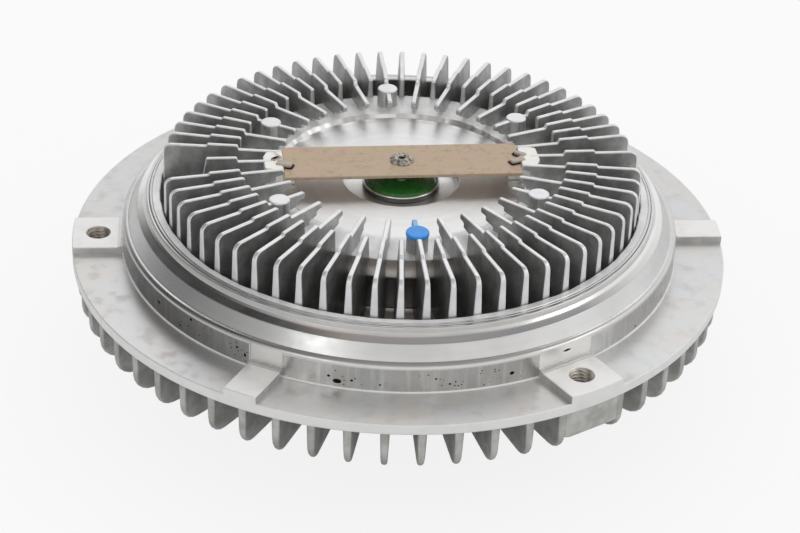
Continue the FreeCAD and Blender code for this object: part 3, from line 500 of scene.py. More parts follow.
def rounded(corners, arc_steps=5):
    """A closed outline through the corners. A corner (x, y, radius) becomes an arc of that radius
    that touches both sides: it swings from one tangent point to the other round a centre that lies
    on the corner's bisector."""
    points = np.array([corner[:2] for corner in corners], float)
    radii = [corner[2] if len(corner) > 2 else 0.0 for corner in corners]
    back = np.roll(points, 1, 0) - points
    on = np.roll(points, -1, 0) - points
    back /= np.linalg.norm(back, axis=1, keepdims=True)
    on /= np.linalg.norm(on, axis=1, keepdims=True)
    share = np.linspace(0.0, 1.0, arc_steps + 1)[:, None]
    nearly_straight = 1.55
    runs = []
    for point, one, two, radius in zip(points, back, on, radii):
        half = np.arccos(np.clip(one @ two, -1.0, 1.0)) / 2
        if radius == 0.0 or half > nearly_straight:
            runs.append(point[None])
            continue
        centre = point + (one + two) / np.linalg.norm(one + two) * radius / np.sin(half)
        first, last = (point + side * radius / np.tan(half) - centre for side in (one, two))
        swing = np.pi - 2 * half
        swung = first * np.sin((1 - share) * swing) + last * np.sin(share * swing)
        runs.append(centre + swung / np.sin(swing))
    outline = np.concatenate(runs)
    area = np.cross(outline, np.roll(outline, -1, 0)).sum()
    return outline if area > 0 else outline[::-1]


def drawn_in(outline, depth):
    """Each point moves inwards along the bisector of its two sides, until both sides lie depth
    further in."""
    side = np.roll(outline, -1, 0) - outline
    normal = np.stack([-side[:, 1], side[:, 0]], 1) / np.linalg.norm(side, axis=1, keepdims=True)
    bisector = normal + np.roll(normal, 1, 0)
    return outline + 2 * depth * bisector / (bisector**2).sum(1, keepdims=True)


# %% [markdown]
# Two kinds of grid come out of an outline. `lathe` turns it about the axis, as the castings were
# turned, and a waver may roughen it. `plate` stacks copies of it, and those next to both sides are
# drawn in along a quarter circle. A Bevel could round those rims, but it would round the outline's
# own corners with them.

# %% Grids from outlines


def lathe(profile, steps, waver=None):
    """The profile's point (r, z), turned by the angle a, is (r cos a, r sin a, z). waver(a, point)
    may add to each radius."""
    angle = np.arange(steps)[:, None] * 2 * np.pi / steps
    radius = np.broadcast_to(profile[:, 0], (steps, len(profile)))
    if waver is not None:
        radius = radius + waver(angle, profile)
    height = np.broadcast_to(profile[:, 1], radius.shape)
    return np.stack([radius * np.cos(angle), radius * np.sin(angle), height], -1)


def plate(outline, low_side, high_side, edge=0.3, edge_steps=3):
    """Loops of the outline from the low side to the high side, as (across, along, up). The outline
    is drawn in by edge * (1 - sin t) and lies edge * (1 - cos t) inside its side, with t from 0 to
    90 degrees, so both rims are quarter rounds. A side is one height, or one for each point."""
    turn = np.linspace(0.0, np.pi / 2, edge_steps + 1)
    loops = [(drawn_in(outline, edge * (1 - np.sin(t))), edge * (1 - np.cos(t))) for t in turn]
    bottom = np.zeros(len(outline)) + low_side
    top = np.zeros(len(outline)) + high_side
    rising = [np.column_stack([flat, bottom + inset]) for flat, inset in loops]
    closing = [np.column_stack([flat, top - inset]) for flat, inset in loops[::-1]]
    return np.array(rising + closing)


# %% [markdown]
# Each point of a grid joins its neighbours, and the last column joins the first. A Boolean needs
# solids that are closed and whose faces look outwards. Recalculate Outside could see to that by
# hand, but the sign of the volume tells it in one sum.

# %% Solids from grids


def new_object(name, points, faces):
    """An object whose mesh has those points, in metres, and those faces."""
    mesh = bpy.data.meshes.new(name)
    mesh.from_pydata(points, [], faces)
    mesh.update()
    made = bpy.data.objects.new(name, mesh)
    bpy.context.collection.objects.link(made)
    return made


def solid(name, grid, closed_rows=False):
    """A closed mesh from a grid of points whose columns wrap round. Its rows wrap too, or end in
    caps. Faces are turned outwards: the sum of their corner products is six times the volume."""
    rows, columns = grid.shape[:2]
    index = np.arange(rows * columns).reshape(rows, columns)
    beside = np.roll(index, -1, 1)
    if closed_rows:
        quads = np.stack([index, beside, np.roll(beside, -1, 0), np.roll(index, -1, 0)], -1)
        caps = []
    else:
        quads = np.stack([index[:-1], beside[:-1], beside[1:], index[1:]], -1)
        caps = [index[0][::-1].tolist(), index[-1].tolist()]
    quads = quads.reshape(-1, 4)
    flat = grid.reshape(-1, 3)
    a, b, c, d = (flat[quads[:, k]] for k in range(4))
    volume = (np.cross(a, b) * c).sum() + (np.cross(a, c) * d).sum()
    for cap in caps:
        corner = flat[cap]
        volume += (np.cross(corner[0], corner[1:-1]) * corner[2:]).sum()
    if volume < 0:
        quads, caps = quads[:, ::-1], [cap[::-1] for cap in caps]
    return new_object(name, (flat * MM).tolist(), quads.tolist() + caps)


def turned_piece(name, profile, steps, waver=None):
    """A solid of revolution, whose profile is a closed outline of (radius, height)."""
    print(name, "has a profile of", len(profile), "points")
    return solid(name, lathe(profile, steps, waver), closed_rows=True)


# %% [markdown]
# Fins, pads and bosses come again round the axis. An Array modifier could copy them, but their gaps
# aren't all alike, so a grid is turned to each of its angles and the copies become one object.

# %% Copies round the axis


def read(things, what, width=1):
    """One array of what each thing holds, such as each vertex's three coordinates."""
    values = np.zeros(len(things) * width, np.float32)
    things.foreach_get(what, values)
    return values.reshape(-1, width) if width > 1 else values


def turned_about(grid, degrees):
    """The grid turned about the clutch's axis."""
    a = np.radians(degrees)
    turn = np.array([[np.cos(a), -np.sin(a), 0], [np.sin(a), np.cos(a), 0], [0, 0, 1]])
    return grid @ turn.T


def upright(grid):
    """A plate drawn as (radius, height, thickness) stands up, with its thickness along the turn."""
    return np.stack([grid[..., 0], grid[..., 2], grid[..., 1]], -1)


def merged(name, pieces):
    """One object from several, whose meshes don't touch."""
    meshes = [piece.data for piece in pieces]
    counts = np.cumsum([0] + [len(mesh.vertices) for mesh in meshes])
    points = np.concatenate([read(mesh.vertices, "co", 3) for mesh in meshes])
    faces = [
        [corner + start for corner in face.vertices]
        for mesh, start in zip(meshes, counts) for face in mesh.polygons
    ]
    for piece in pieces:
        bpy.data.objects.remove(piece)
    return new_object(name, points.tolist(), faces)


def ring_of(name, *rows):
    """One object from copies round the axis. Each row is a grid and its angles in degrees."""
    return merged(name, [
        solid(name, turned_about(grid, turn)) for grid, turns in rows for turn in turns
    ])


# %% [markdown]
# A fin grows out of its casting, and a thread is cut into it. Faces could be joined by hand where
# they meet, but a Boolean modifier makes the sum or the difference by itself. Its Manifold solver
# is quick, and it keeps closed solids closed. What the modifiers show then becomes the piece's own
# mesh.

# %% Sums, differences and shading


def settle(piece):
    """Makes what the modifiers show the piece's own mesh."""
    shown = piece.evaluated_get(bpy.context.evaluated_depsgraph_get())
    mesh = bpy.data.meshes.new_from_object(shown)
    piece.modifiers.clear()
    piece.data = mesh


def carved(piece, added, removed=()):
    """Unites the piece with each added object, then cuts each removed one out. All are used up."""
    for operation, tools in (("UNION", added), ("DIFFERENCE", removed)):
        for tool in tools:
            change = piece.modifiers.new(operation, "BOOLEAN")
            change.operation, change.object, change.solver = operation, tool, "MANIFOLD"
    settle(piece)
    for tool in (*added, *removed):
        bpy.data.objects.remove(tool)


def smoothed(piece, angle=32.0):
    """Smooth shading, sharp past the angle. Each corner's normal leans to its larger faces."""
    mesh = piece.data
    mesh.polygons.foreach_set("use_smooth", np.ones(len(mesh.polygons), bool))
    mesh.set_sharp_from_angle(angle=np.radians(angle))
    weigh = piece.modifiers.new("weigh", "WEIGHTED_NORMAL")
    weigh.keep_sharp = True
    settle(piece)


# %% [markdown]
# One casting shows several finishes. Faces could be picked by hand, but then a changed size would
# spoil the choice. So each face takes its finish from where it lies and which way it looks.

# %% Finishes by zone


class Faces:
    """What a finish asks of each face: its middle's radius, height and angle in degrees, and the
    parts of its normal that point outward and upward."""

    def __init__(self, mesh):
        centre = read(mesh.polygons, "center", 3) / MM
        normal = read(mesh.polygons, "normal", 3)
        self.radius = np.hypot(centre[:, 0], centre[:, 1])
        self.height = centre[:, 2]
        self.angle = np.degrees(np.arctan2(centre[:, 1], centre[:, 0])) % 360
        self.outward = (normal[:, :2] * centre[:, :2]).sum(1) / np.maximum(self.radius, 1e-6)
        self.upward = normal[:, 2]

    def where(self, **ranges):
        """True on the faces whose named measures all lie between their two limits."""
        inside = np.ones(len(self.radius), bool)
        for name, (least, most) in ranges.items():
            measure = getattr(self, name)
            inside &= (measure > least) & (measure < most)
        return inside

    def within(self, middle, half):
        """True where the angle lies within half of middle, round the circle."""
        return np.abs((self.angle - middle + 180) % 360 - 180) < half


def above(limit):
    return limit, np.inf


def below(limit):
    return -np.inf, limit


def zoned(piece, base, zones):
    """The base finish everywhere, then each zone's finish on its faces. A later zone wins."""
    mesh = piece.data
    mesh.materials.clear()
    mesh.materials.append(base)
    chosen = np.zeros(len(mesh.polygons), np.int32)
    for place, (material, inside) in enumerate(zones(Faces(mesh)), 1):
        mesh.materials.append(material)
        chosen[inside] = place
    mesh.polygons.foreach_set("material_index", chosen)
    counts = dict(zip(*np.unique(chosen, return_counts=True)))
    print(piece.name, len(mesh.polygons), "faces;", counts)


# %% [markdown]
# ## The housing
# The rear casting carries the fan: a flat flange with six pads, a turned wall inside it with a
# bead and two bands, and the rolled lip that holds the cover in. Fins stand under the flange at 60
# places, of which the three threaded blocks take one each. Loop cuts in a cylinder would give the
# same rings, but the real one was cut by a lathe along one profile, so one profile is carried
# round, and the fins, pads and blocks are added.

# %% Turn the housing's body
cover_edge = neck_radius + 1.8
wall_radius = flange_radius - 17.6
flange_top = chamber_floor + 12.25
flange_under = flange_top - 4.0
boss_low = low("housing")
boss_radius = bearing_radius + 7.0
rear_face = chamber_floor - 4.5
shell_corner = rear_face + 7.0
lip_radius = neck_radius + 1.2
band_top = lip_top - 4.1
wall_top = band_top - 4.9
band_radius = lip_radius + 3.2
bead_radius = band_radius + 2.9
cover_seat = flange_top + 6.25
rim_top = cover_seat + 8.5
chamber_radius = cover_edge - 2.9 + 0.3
rim_bore = neck_radius + 1.9
neck_bore = neck_radius + 0.1
shoulder_bore = 24.0
snap_groove, snap_groove_top = bearing_radius + 1.5, boss_low + 1.4

housing_profile = rounded([
    (bearing_radius, boss_low, 0.5),
    (boss_radius, boss_low, 1.2),
    (boss_radius, rear_face, 1.5),
    (chamber_radius + 1.1, rear_face, 2.0),
    (wall_radius, shell_corner, 1.5),
    (wall_radius, flange_under, 1.5),
    (flange_radius, flange_under, 0.8),
    (flange_radius, flange_top, 0.5),
    (wall_radius, flange_top, 0.6),
    (wall_radius, wall_top + 0.25, 1.7),
    (bead_radius + 0.25, wall_top + 0.1, 0.2),
    (bead_radius, wall_top + 0.5, 0.4),
    (band_radius, band_top, 0.5),
    (lip_radius + 0.9, lip_top - 3.1, 2.2),
    (lip_radius, lip_top - 2.1, 0.4),
    (lip_radius, lip_top, 0.45),
    (neck_bore, lip_top, 0.25),
    (neck_bore, rim_top + 2.5),
    (rim_bore, rim_top),
    (rim_bore, cover_seat),
    (chamber_radius, cover_seat),
    (chamber_radius, chamber_floor),
    (shoulder_bore, chamber_floor),
    (shoulder_bore, bearing_high),
    (bearing_radius, bearing_high),
    (bearing_radius, bearing_low),
    (snap_groove, bearing_low),
    (snap_groove, snap_groove_top),
    (bearing_radius, snap_groove_top),
])
housing = turned_piece("fan_housing", housing_profile, 480)

# %% [markdown]
# The rear fins are plates that stand on edge. Each is thickest where it leaves the flange and thins
# towards its free edge, so that it leaves the die. Simple Deform could taper it, but here its two
# sides are just functions of the height.

# %% Stand up the rear fins
fin_outside = flange_radius - 1.5
rear_fin_low = flange_top - 19.8
in_flange = flange_under + 2.0
in_floor = rear_face + 2.25
in_boss = boss_radius - 3.5
in_wall = wall_radius - 4.0

rear_fin_outline = rounded([
    (in_boss, rear_fin_low - 4.2),
    (fin_outside, rear_fin_low, 7.0),
    (fin_outside, in_flange),
    (in_wall, in_flange),
    (in_wall, shell_corner),
    (chamber_radius - 2.9, in_floor),
    (in_boss, in_floor),
])
rise_share = (rear_fin_outline[:, 1] - rear_fin_low) / (flange_under - rear_fin_low)
rear_fin_half = (2.0 + 1.2 * np.clip(rise_share, 0, 1)) / 2
rear_fin = upright(plate(rear_fin_outline, -rear_fin_half, rear_fin_half, edge=0.85))
rear_turns = [6.0 * place for place in range(60) if place % 20 != 10]
rear_fins = ring_of("rear_fins", (rear_fin, rear_turns))
print("rear fins:", len(rear_turns))

# %% [markdown]
# Under each threaded pad a block gives the M8 bolt its depth. A pad is a low plate whose outer end
# follows the flange's rim. Next to each pad the mill has shaved the wall flat. Scaled cubes would
# do for most of this, but a cube's end is straight and its edges are sharp, so all are plates.

# %% Add blocks and pads, and shave the flats
pad_top = flange_top + 2.55
threaded_turns, plain_turns = (60, 180, 300), (0, 120, 240)
threaded_width, plain_width = 21.0, 11.8


def arc_end(width, inner, outer, steps=9):
    """A straight-sided outline whose outer end is an arc about the axis."""
    swing = np.linspace(-1, 1, steps) * np.arcsin(width / 2 / outer)
    end = outer * np.stack([np.cos(swing), np.sin(swing)], 1)
    return np.concatenate([[[inner, -width / 2]], end, [[inner, width / 2]]])


def box_outline(near, far, width, corner=0.5):
    side = width / 2
    return rounded([
        (near, -side, corner), (far, -side, corner), (far, side, corner), (near, side, corner),
    ], arc_steps=3)


def at_pads(name, shape):
    """One object that has, at each of the six pads, the plate that shape gives for its width."""
    return ring_of(
        name, (shape(threaded_width), threaded_turns), (shape(plain_width), plain_turns),
    )


def ledge(reach, rise):
    """A step in the corner between a pad and the wall."""
    return lambda width: plate(
        box_outline(wall_radius - 2.0, wall_radius + reach, width, 0.1),
        flange_top, pad_top + rise, edge=0.1,
    )


block_spread = np.tan(np.radians(6.0))
block_outline = rounded([
    (in_wall, -in_wall * block_spread),
    (fin_outside, -fin_outside * block_spread, 3.0),
    (fin_outside, fin_outside * block_spread, 3.0),
    (in_wall, in_wall * block_spread),
])
block = plate(block_outline, flange_top - 14.5, in_flange, edge=0.9)
blocks = ring_of("blocks", (block, threaded_turns))
pads = at_pads("pads", lambda width: plate(
    arc_end(width, wall_radius - 2.0, flange_radius), flange_under + 1.0, pad_top, edge=0.35,
))
ledges = at_pads("ledges", ledge(0.5, 0.6))
steps = at_pads("steps", ledge(1.5, 0.25))
flat_cutters = at_pads("flat_cutters", lambda width: plate(
    box_outline(wall_radius - 0.6, wall_radius + 1.6, width, 0.1),
    pad_top + 0.45, wall_top - 0.9, edge=0.1,
))
print(f"pads {threaded_width} and {plain_width} mm wide, up to {pad_top:.2f} mm")

# %% [markdown]
# An M8 thread could be a profile swept along a helix. It is simpler as a tube whose radius depends
# on the height and the angle together: a triangle wave of `height / pitch - angle / full turn`.
# The ridge then winds up by one pitch a turn, and the tube cuts bore and thread at once.

# %% Cut the threads
bolt_circle = flange_radius - 9.1
thread_pitch, thread_core, thread_depth = 1.25, 3.35, 0.65
mouth_low, mouth_radius = pad_top - 0.75, 3.6


def thread_tube(bottom, top, steps=48, per_turn=8):
    """A clipped triangle wave gives flat crests. Above mouth_low the tube opens at 45 degrees."""
    angle = np.arange(steps)[None] * 2 * np.pi / steps
    rows = int((top - bottom) / thread_pitch * per_turn)
    height = np.linspace(bottom, top, rows)[:, None]
    wave = np.abs((height / thread_pitch - angle / (2 * np.pi)) % 1.0 * 2 - 1)
    radius = thread_core + thread_depth * np.clip(wave * 1.25 - 0.1, 0, 1)
    mouth = mouth_radius + np.maximum(0, height - mouth_low)
    radius = np.where(height > mouth_low, np.maximum(radius, mouth), radius)
    height = np.broadcast_to(height, radius.shape)
    return np.stack([bolt_circle + radius * np.cos(angle), radius * np.sin(angle), height], -1)


threads = ring_of("threads", (thread_tube(flange_top - 14.8, pad_top + 0.2), threaded_turns))
print("threads:", len(threaded_turns), "with a pitch of", thread_pitch, "mm")

# %% [markdown]
# The wall's cut has opened pores in the casting. The large ones lie where the real ones do, and
# fine ones lie round them in swarms. A bump in the finish would show no depth from the side, so
# each is cut. Two pores that touch would spoil the cut, so a fine one too near another is left out.

# %% Cut the pores

# Each pore is an angle in degrees, a height above the flange, a width and a height
pore_places = [
    (-105.62, 2.67, 2.9, 1.7), (-102.85, 3.6, 1.0, 0.8), (-107.28, 4.29, 1.1, 0.9),
    (-97.46, 2.85, 0.8, 0.7), (-86.98, 5.39, 0.8, 0.7), (-84.27, 3.15, 0.9, 0.7),
    (-149.18, 5.14, 1.5, 1.1), (-138.42, 7.66, 1.2, 1.0), (-141.85, 2.63, 0.9, 0.8),
    (-126.51, 5.76, 1.0, 0.9), (-124.66, 3.84, 0.9, 1.4), (-72.02, 4.2, 1.6, 1.3),
    (-39.67, 1.77, 0.9, 0.7), (28.0, 5.1, 1.1, 0.8), (96.0, 3.6, 0.9, 0.7), (151.0, 4.4, 1.3, 0.8),
    (-59.64, 6.75, 4.1, 1.05),
]
# Each swarm is an angle in degrees and a number of pores
swarms = ((-125.5, 12), (-104.5, 10), (-85.0, 12), (-76.0, 8), (-137.0, 6), (60.0, 8), (140.0, 9))
chance = np.random.default_rng(7)
for centre, count in swarms:
    offsets = chance.normal(0, 2.6, count)
    rises = chance.uniform(1.4, 7.4, count)
    sizes = chance.uniform(0.35, 0.6, count)
    for turn, rise, size in zip(centre + offsets, rises, sizes):
        other_turns, other_rises, other_widths = np.array(pore_places)[:, :3].T
        along = np.radians(other_turns - turn) * wall_radius
        if (np.hypot(along, other_rises - rise) > other_widths / 2 + size).all():
            pore_places.append((turn, rise, size, size * 0.9))


def pore(angle, rise, width, height, steps=12):
    """An ellipsoid: width along the wall, height up it, and as deep as it is high."""
    turn = np.arange(steps)[None] * 2 * np.pi / steps
    lift = np.linspace(-1.35, 1.35, 7)[:, None]
    ring = np.cos(lift)
    grid = np.stack([
        wall_radius + height * ring * np.cos(turn),
        width / 2 * ring * np.sin(turn),
        flange_top + rise + height / 2 * np.sin(lift) * np.ones_like(turn),
    ], -1)
    return turned_about(grid, angle)


pores = merged("pores", [solid("pore", pore(*place)) for place in pore_places])
print("pores:", len(pore_places))
carved(housing, [rear_fins, blocks, pads, steps, ledges], [flat_cutters, threads, pores])
smoothed(housing)

# %% [markdown]
# On the housing the lathe's bands are bright, the flange is stained, the milled pads are pale, and
# the rest is the die's skin. A painted mask could tell them apart, but the sizes above do it as
# well. The list starts with the large zones, and the small ones that lie on them come later.

# %% Give the housing its finishes


def in_pore(faces):
    """True inside the pores' edges, drawn 5% wide."""
    inside = np.zeros(len(faces.radius), bool)
    for turn, rise, width, tall in pore_places:
        along = np.radians((faces.angle - turn + 180) % 360 - 180) * wall_radius
        aloft = faces.height - flange_top - rise
        inside |= (2 * along / width) ** 2 + (2 * aloft / tall) ** 2 < 1.1
    return inside & faces.where(radius=(wall_radius - 2.5, wall_radius - 0.03))


def on_pad(faces):
    """True over one of the six pads."""
    sideways = np.abs(faces.radius * np.sin(np.radians((faces.angle + 30) % 60 - 30)))
    at_threaded = (faces.angle + 30) % 120 >= 60
    return sideways < np.where(at_threaded, threaded_width / 2 + 0.1, plain_width / 2 + 0.1)


def near_hole(faces):
    """True in or close round one of the three threaded holes."""
    turn = np.radians(faces.angle % 120 - 60)
    along = faces.radius * np.cos(turn) - bolt_circle
    return np.hypot(along, faces.radius * np.sin(turn)) < 4.35


def housing_zones(faces):
    where, over_pad = faces.where, on_pad(faces)
    pad_face = where(
        radius=above(wall_radius - 0.2), height=(pad_top - 0.5, pad_top + 0.1), upward=above(0.3),
    )
    flat = where(radius=(wall_radius - 2, wall_radius), height=(pad_top - 0.5, wall_top - 1.3))
    flat &= np.abs(faces.outward) > 0.9
    thread = near_hole(faces) & where(
        height=(flange_top - 14.4, pad_top - 0.1), upward=(-0.97, 0.97),
    )
    return [
        (wall_aluminium, where(
            radius=(wall_radius - 1.5, wall_radius + 0.4), height=above(flange_top),
        )),
        (turned_aluminium, where(radius=above(lip_radius), height=above(wall_top - 1.5))),
        (band_aluminium, where(radius=above(lip_radius + 0.1), height=above(band_top + 0.1))),
        (turned_aluminium, where(radius=above(neck_bore - 0.1), height=above(lip_top - 2.3))),
        (stained_aluminium, where(
            radius=above(wall_radius + 0.3), height=above(flange_top - 0.6), upward=above(0.3),
        )),
        (edge_aluminium, where(
            radius=above(flange_radius - 0.6), height=above(flange_under + 0.1), upward=below(0.97),
        )),
        (edge_aluminium, where(
            radius=(wall_radius - 0.3, wall_radius + 0.7), height=below(flange_top + 0.7),
            upward=(0.12, 0.97),
        )),
        (milled_aluminium, pad_face & over_pad),
        (milled_aluminium, flat & over_pad),
        (rear_fin_aluminium, where(height=below(flange_under - 0.3))),
        # Black in the pores: painted shade.
        (painted_shade_black, in_pore(faces) & (where(radius=below(wall_radius - 0.65)) | ~over_pad)),
        (thread_metal, thread),
    ]


zoned(housing, cast_aluminium, housing_zones)
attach(housing, "fan_half")
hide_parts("housing")

# %% [markdown]
# ## The cover
# The front casting closes the chamber. Its drum holds the oil reserve, and 60 fins stand round the
# drum to shed the heat, at a pitch of 62 to the turn with wider gaps by the strip's ends. Long fins
# reach in to the polished disc, and short ones stop at the drum's edge. The casting's skin ends
# raggedly against a turned face. Displace could roughen it, but the turned faces would move too, so
# the profile's radius wavers at just those edges.

# %% Turn the cover's body
drum_radius = 62.5
disc_radius = 42.5
dish_radius = 20.3
ring_inner = neck_radius - 3.7
ring_top = lip_top + 0.3
cover_under = cover_seat - 1.8
channel_floor = cover_under + 4.3
plateau_inner = disc_radius + 1.9
store_radius, store_skirt = drum_radius - 5.5, drum_radius - 3.0
store_ceiling = disc_level - 4.5
dish_wall, dish_ceiling = dish_radius + 4.5, dish_level - 4.5
spigot_radius = chamber_radius - 0.3
seal_groove, seal_groove_low, seal_groove_top = cover_edge - 2.6, cover_seat + 2.6, cover_seat + 5.2
pin_hole, pin_guide, pin_guide_low = 3.05, 9.0, dish_level - 8.0

cover_profile = rounded([
    (pin_hole, pin_guide_low),
    (pin_guide, pin_guide_low),
    (pin_guide, dish_ceiling),
    (dish_wall, dish_ceiling),
    (dish_wall, store_ceiling),
    (store_radius, store_ceiling, 2.0),
    (store_radius, cover_under + 2.0),
    (store_skirt, cover_under + 2.0),
    (store_skirt, cover_under),
    (spigot_radius, cover_under, 0.4),
    (spigot_radius, cover_seat),
    (cover_edge, cover_seat),
    (cover_edge, seal_groove_low),
    (seal_groove, seal_groove_low),
    (seal_groove, seal_groove_top),
    (cover_edge, seal_groove_top),
    (cover_edge, rim_top, 0.4),
    (neck_radius, rim_top + 2.5, 0.4),
    (neck_radius, ring_top, 0.35),
    (neck_radius - 0.75, ring_top),
    (neck_radius - 0.95, ring_top - 0.2),
    (neck_radius - 1.15, ring_top),
    (ring_inner, ring_top, 0.5),
    (ring_inner, channel_floor, 1.5),
    (drum_radius, channel_floor, 1.8),
    (drum_radius, plateau, 5.5),
    (plateau_inner, plateau, 0.25),
    (disc_radius + 0.6, disc_level + 0.3, 0.3),
    (disc_radius - 0.3, disc_level),
    (dish_radius, disc_level, 0.5),
    (dish_radius, dish_level, 0.6),
    (pin_hole, dish_level, 0.3),
], arc_steps=6)


def ragged(angle, profile):
    """A sum of sines of the angle with unrelated counts, each weaker as its count grows. It acts on
    the inner edges of the ring and of the plateau alone."""
    counts = np.array([7, 13, 23, 41, 67, 97])
    phases = np.array([0.3, 1.9, 4.1, 2.7, 5.5, 3.3])
    wave = np.sin(angle * counts + phases) @ (1 / np.sqrt(counts)) / 1.2
    radius, height = profile.T
    ring = 0.42 * (np.abs(radius - ring_inner) < 0.6) * (height > ring_top - 1.2)
    patch = 1.1 * (np.abs(radius - plateau_inner) < 0.8) * (height > plateau - 0.6)
    return wave[:, None] * (ring + patch)


cover = turned_piece("finned_cover", cover_profile, 480, ragged)

# %% [markdown]
# The fins are the cover's character. One outline gives the long fin, with its step down at the
# outer end and its free tip over the disc, and the short fin stops above the drum's shoulder. The
# fin at each end of the strip is shorter, and one of them is cut away on its outer side. Each could
# be drawn whole, but they share their ends, so an outline is put together from an outer end, an
# inner end and the hidden root that joins them.

# %% Stand up the front fins
place_angle = 360 / 62
fin_outer = ring_inner - 0.5
land_outer, land_inner = drum_radius + 5.8, drum_radius - 5.5
outer_top, inner_top = fin_top - 0.8, fin_top - 1.5
fin_foot = disc_radius + 5.9
fin_tip = disc_radius - 0.6
tip_root = fin_tip + 2.6
fin_root, channel_root, ring_root = plateau - 1.6, channel_floor - 2.0, ring_inner + 1.85
cut_end = land_outer + 4.0
wall_middle = drum_radius - 2.75
lug_middle = half_width("bimetal_strip") + 3.6


def front_fin(inner_end, outer_end):
    """A fin between both ends of its outline, thinner by 0.6 mm a side from the ring to the top."""
    under = [(wall_middle, fin_root), (wall_middle, channel_root)]
    outline = rounded(outer_end + inner_end + under, arc_steps=4)
    half = 0.8 + 0.6 * (fin_top - outline[:, 1]) / (fin_top - ring_top)
    return upright(plate(outline, -half, half, edge=0.45))


whole_end = [
    (ring_root, channel_root),
    (ring_root, ring_top - 1.6),
    (fin_outer, ring_top - 1.6, 0.4),
    (fin_outer, outer_top, 3.0),
    (land_outer, outer_top, 0.6),
    (land_outer - 0.4, fin_top, 0.6),
]
cut_away_end = [(cut_end, channel_root), (cut_end, channel_floor), (land_outer - 0.4, fin_top, 0.6)]
inner_step = [(land_inner + 0.4, fin_top, 0.6), (land_inner - 0.2, inner_top, 0.5)]
strip_end = inner_step + [(lug_middle, inner_top, 0.4), (lug_middle, fin_root)]
tip_end = inner_step + [
    (fin_tip, inner_top, 0.7),
    (fin_tip, inner_top - 2.1, 0.4),
    (tip_root, inner_top - 2.6, 0.5),
    (tip_root, plateau + 1.9, 0.6),
    (fin_foot, plateau + 1.0, 0.6),
    (fin_foot, fin_root),
]
short_end = [(land_inner, fin_top, 0.8), (land_inner, fin_root)]


def fin_turns(places):
    return [cover_turn + place * place_angle for place in places]


long_places = [side * (1.5 + 2 * step) for side in (1, -1) for step in range(15)]
short_places = [side * (2.5 + 2 * step) for side in (1, -1) for step in range(14)]
front_fins = ring_of(
    "front_fins",
    (front_fin(tip_end, whole_end), fin_turns(long_places)),
    (front_fin(short_end, whole_end), fin_turns(short_places)),
    (front_fin(strip_end, whole_end), fin_turns([0])),
    (front_fin(strip_end, cut_away_end), fin_turns([31])),
)
print("front fins:", len(long_places) + len(short_places) + 2)

# %% [markdown]
# Six round bosses stand between the fins, where pins pushed the casting out of its die. One
# carries a dab of marking paint, which has run over its rim. A change of colour could show it, but
# paint has a thickness of its own, so it is a wider plate over the boss.

# %% Add the bosses and the paint
boss_circle, boss_size, paint_grow = 52.0, 3.65, 1.07
boss_turns = fin_turns([side * place for side in (1, -1) for place in (5.5, 15.5, 25.5)])
blue_turn = fin_turns([-15.5])[0] % 360
around_boss = np.arange(40) * 2 * np.pi / 40
boss_outline = boss_size * np.stack([np.cos(around_boss), np.sin(around_boss)], 1)


def boss(outline, bottom, top, edge):
    return plate(outline, bottom, top, edge) + [boss_circle, 0, 0]


bosses = ring_of("bosses", (boss(boss_outline, fin_root, fin_top - 1.1, 0.55), boss_turns))
paint_blob = boss(boss_outline * paint_grow, fin_top - 2.0, fin_top - 0.28, 0.5)
paint = ring_of("paint", (paint_blob, [blue_turn]))
print("bosses:", len(boss_turns), "at", boss_circle, "mm from the axis")

# %% [markdown]
# At each end of the strip a seat carries it and a stop stands behind it, and tongues of metal are
# peened over its corners. Their torn edges could be sculpted, but at this size a leaning plate says
# as much, with a low black plate round it as a painted shadow.

# %% Add the strip's seats, stops and tongues
strip_half = 41.2
stop = strip_half + 0.1
seat_plate = plate(box_outline(strip_half - 4.0, stop + 1.6, 8.0), fin_root, strip_low, edge=0.25)
stop_plate = plate(rounded([
    (stop, -6.1, 0.9), (stop + 5.4, -6.9, 1.2), (stop + 7.0, -3.0, 1.0),
    (stop + 6.6, 5.6, 1.0), (stop + 3.0, 6.6, 1.2), (stop, 5.8, 0.9),
]), fin_root, strip_top + 0.9, edge=0.5)
strip_turns = [cover_turn, cover_turn + 180]

# Each tongue is a side in degrees, a place along and across the strip, a lean in degrees, a length,
# a width and how far it stands up
large_tongues = [
    (180, strip_half - 0.2, 2.4, -22.0, 5.6, 3.6, 1.3),
    (0, strip_half - 0.9, -2.9, 24.0, 5.4, 3.0, 1.25),
]
small_tongues = [
    (180, strip_half + 2.6, -1.2, 35.0, 3.4, 2.2, 1.35),
    (0, strip_half + 0.6, 1.6, -38.0, 4.6, 2.4, 1.3),
]


def tongue(turn, along, across, lean, length, width, rise, grow=0.0):
    """A blunt tongue, narrower at its tip, that lies on the strip and leans to one side."""
    a = np.radians(lean)
    foot, top = strip_top + 0.05, strip_top + rise
    tip, tail = -length / 2 - grow, length / 2
    flat = rounded([
        (tip, -width * 0.36 - grow, 0.9), (tail, -width / 2 - grow, 0.6),
        (tail, width / 2 + grow, 0.6), (tip, width * 0.36 + grow, 0.9),
    ])
    flat = flat @ np.array([[np.cos(a), np.sin(a)], [-np.sin(a), np.cos(a)]]) + [along, across]
    edge = min(0.4, (top - strip_top - 0.05) * 0.4)
    return turned_about(plate(flat, foot, top, edge=edge), cover_turn + turn)
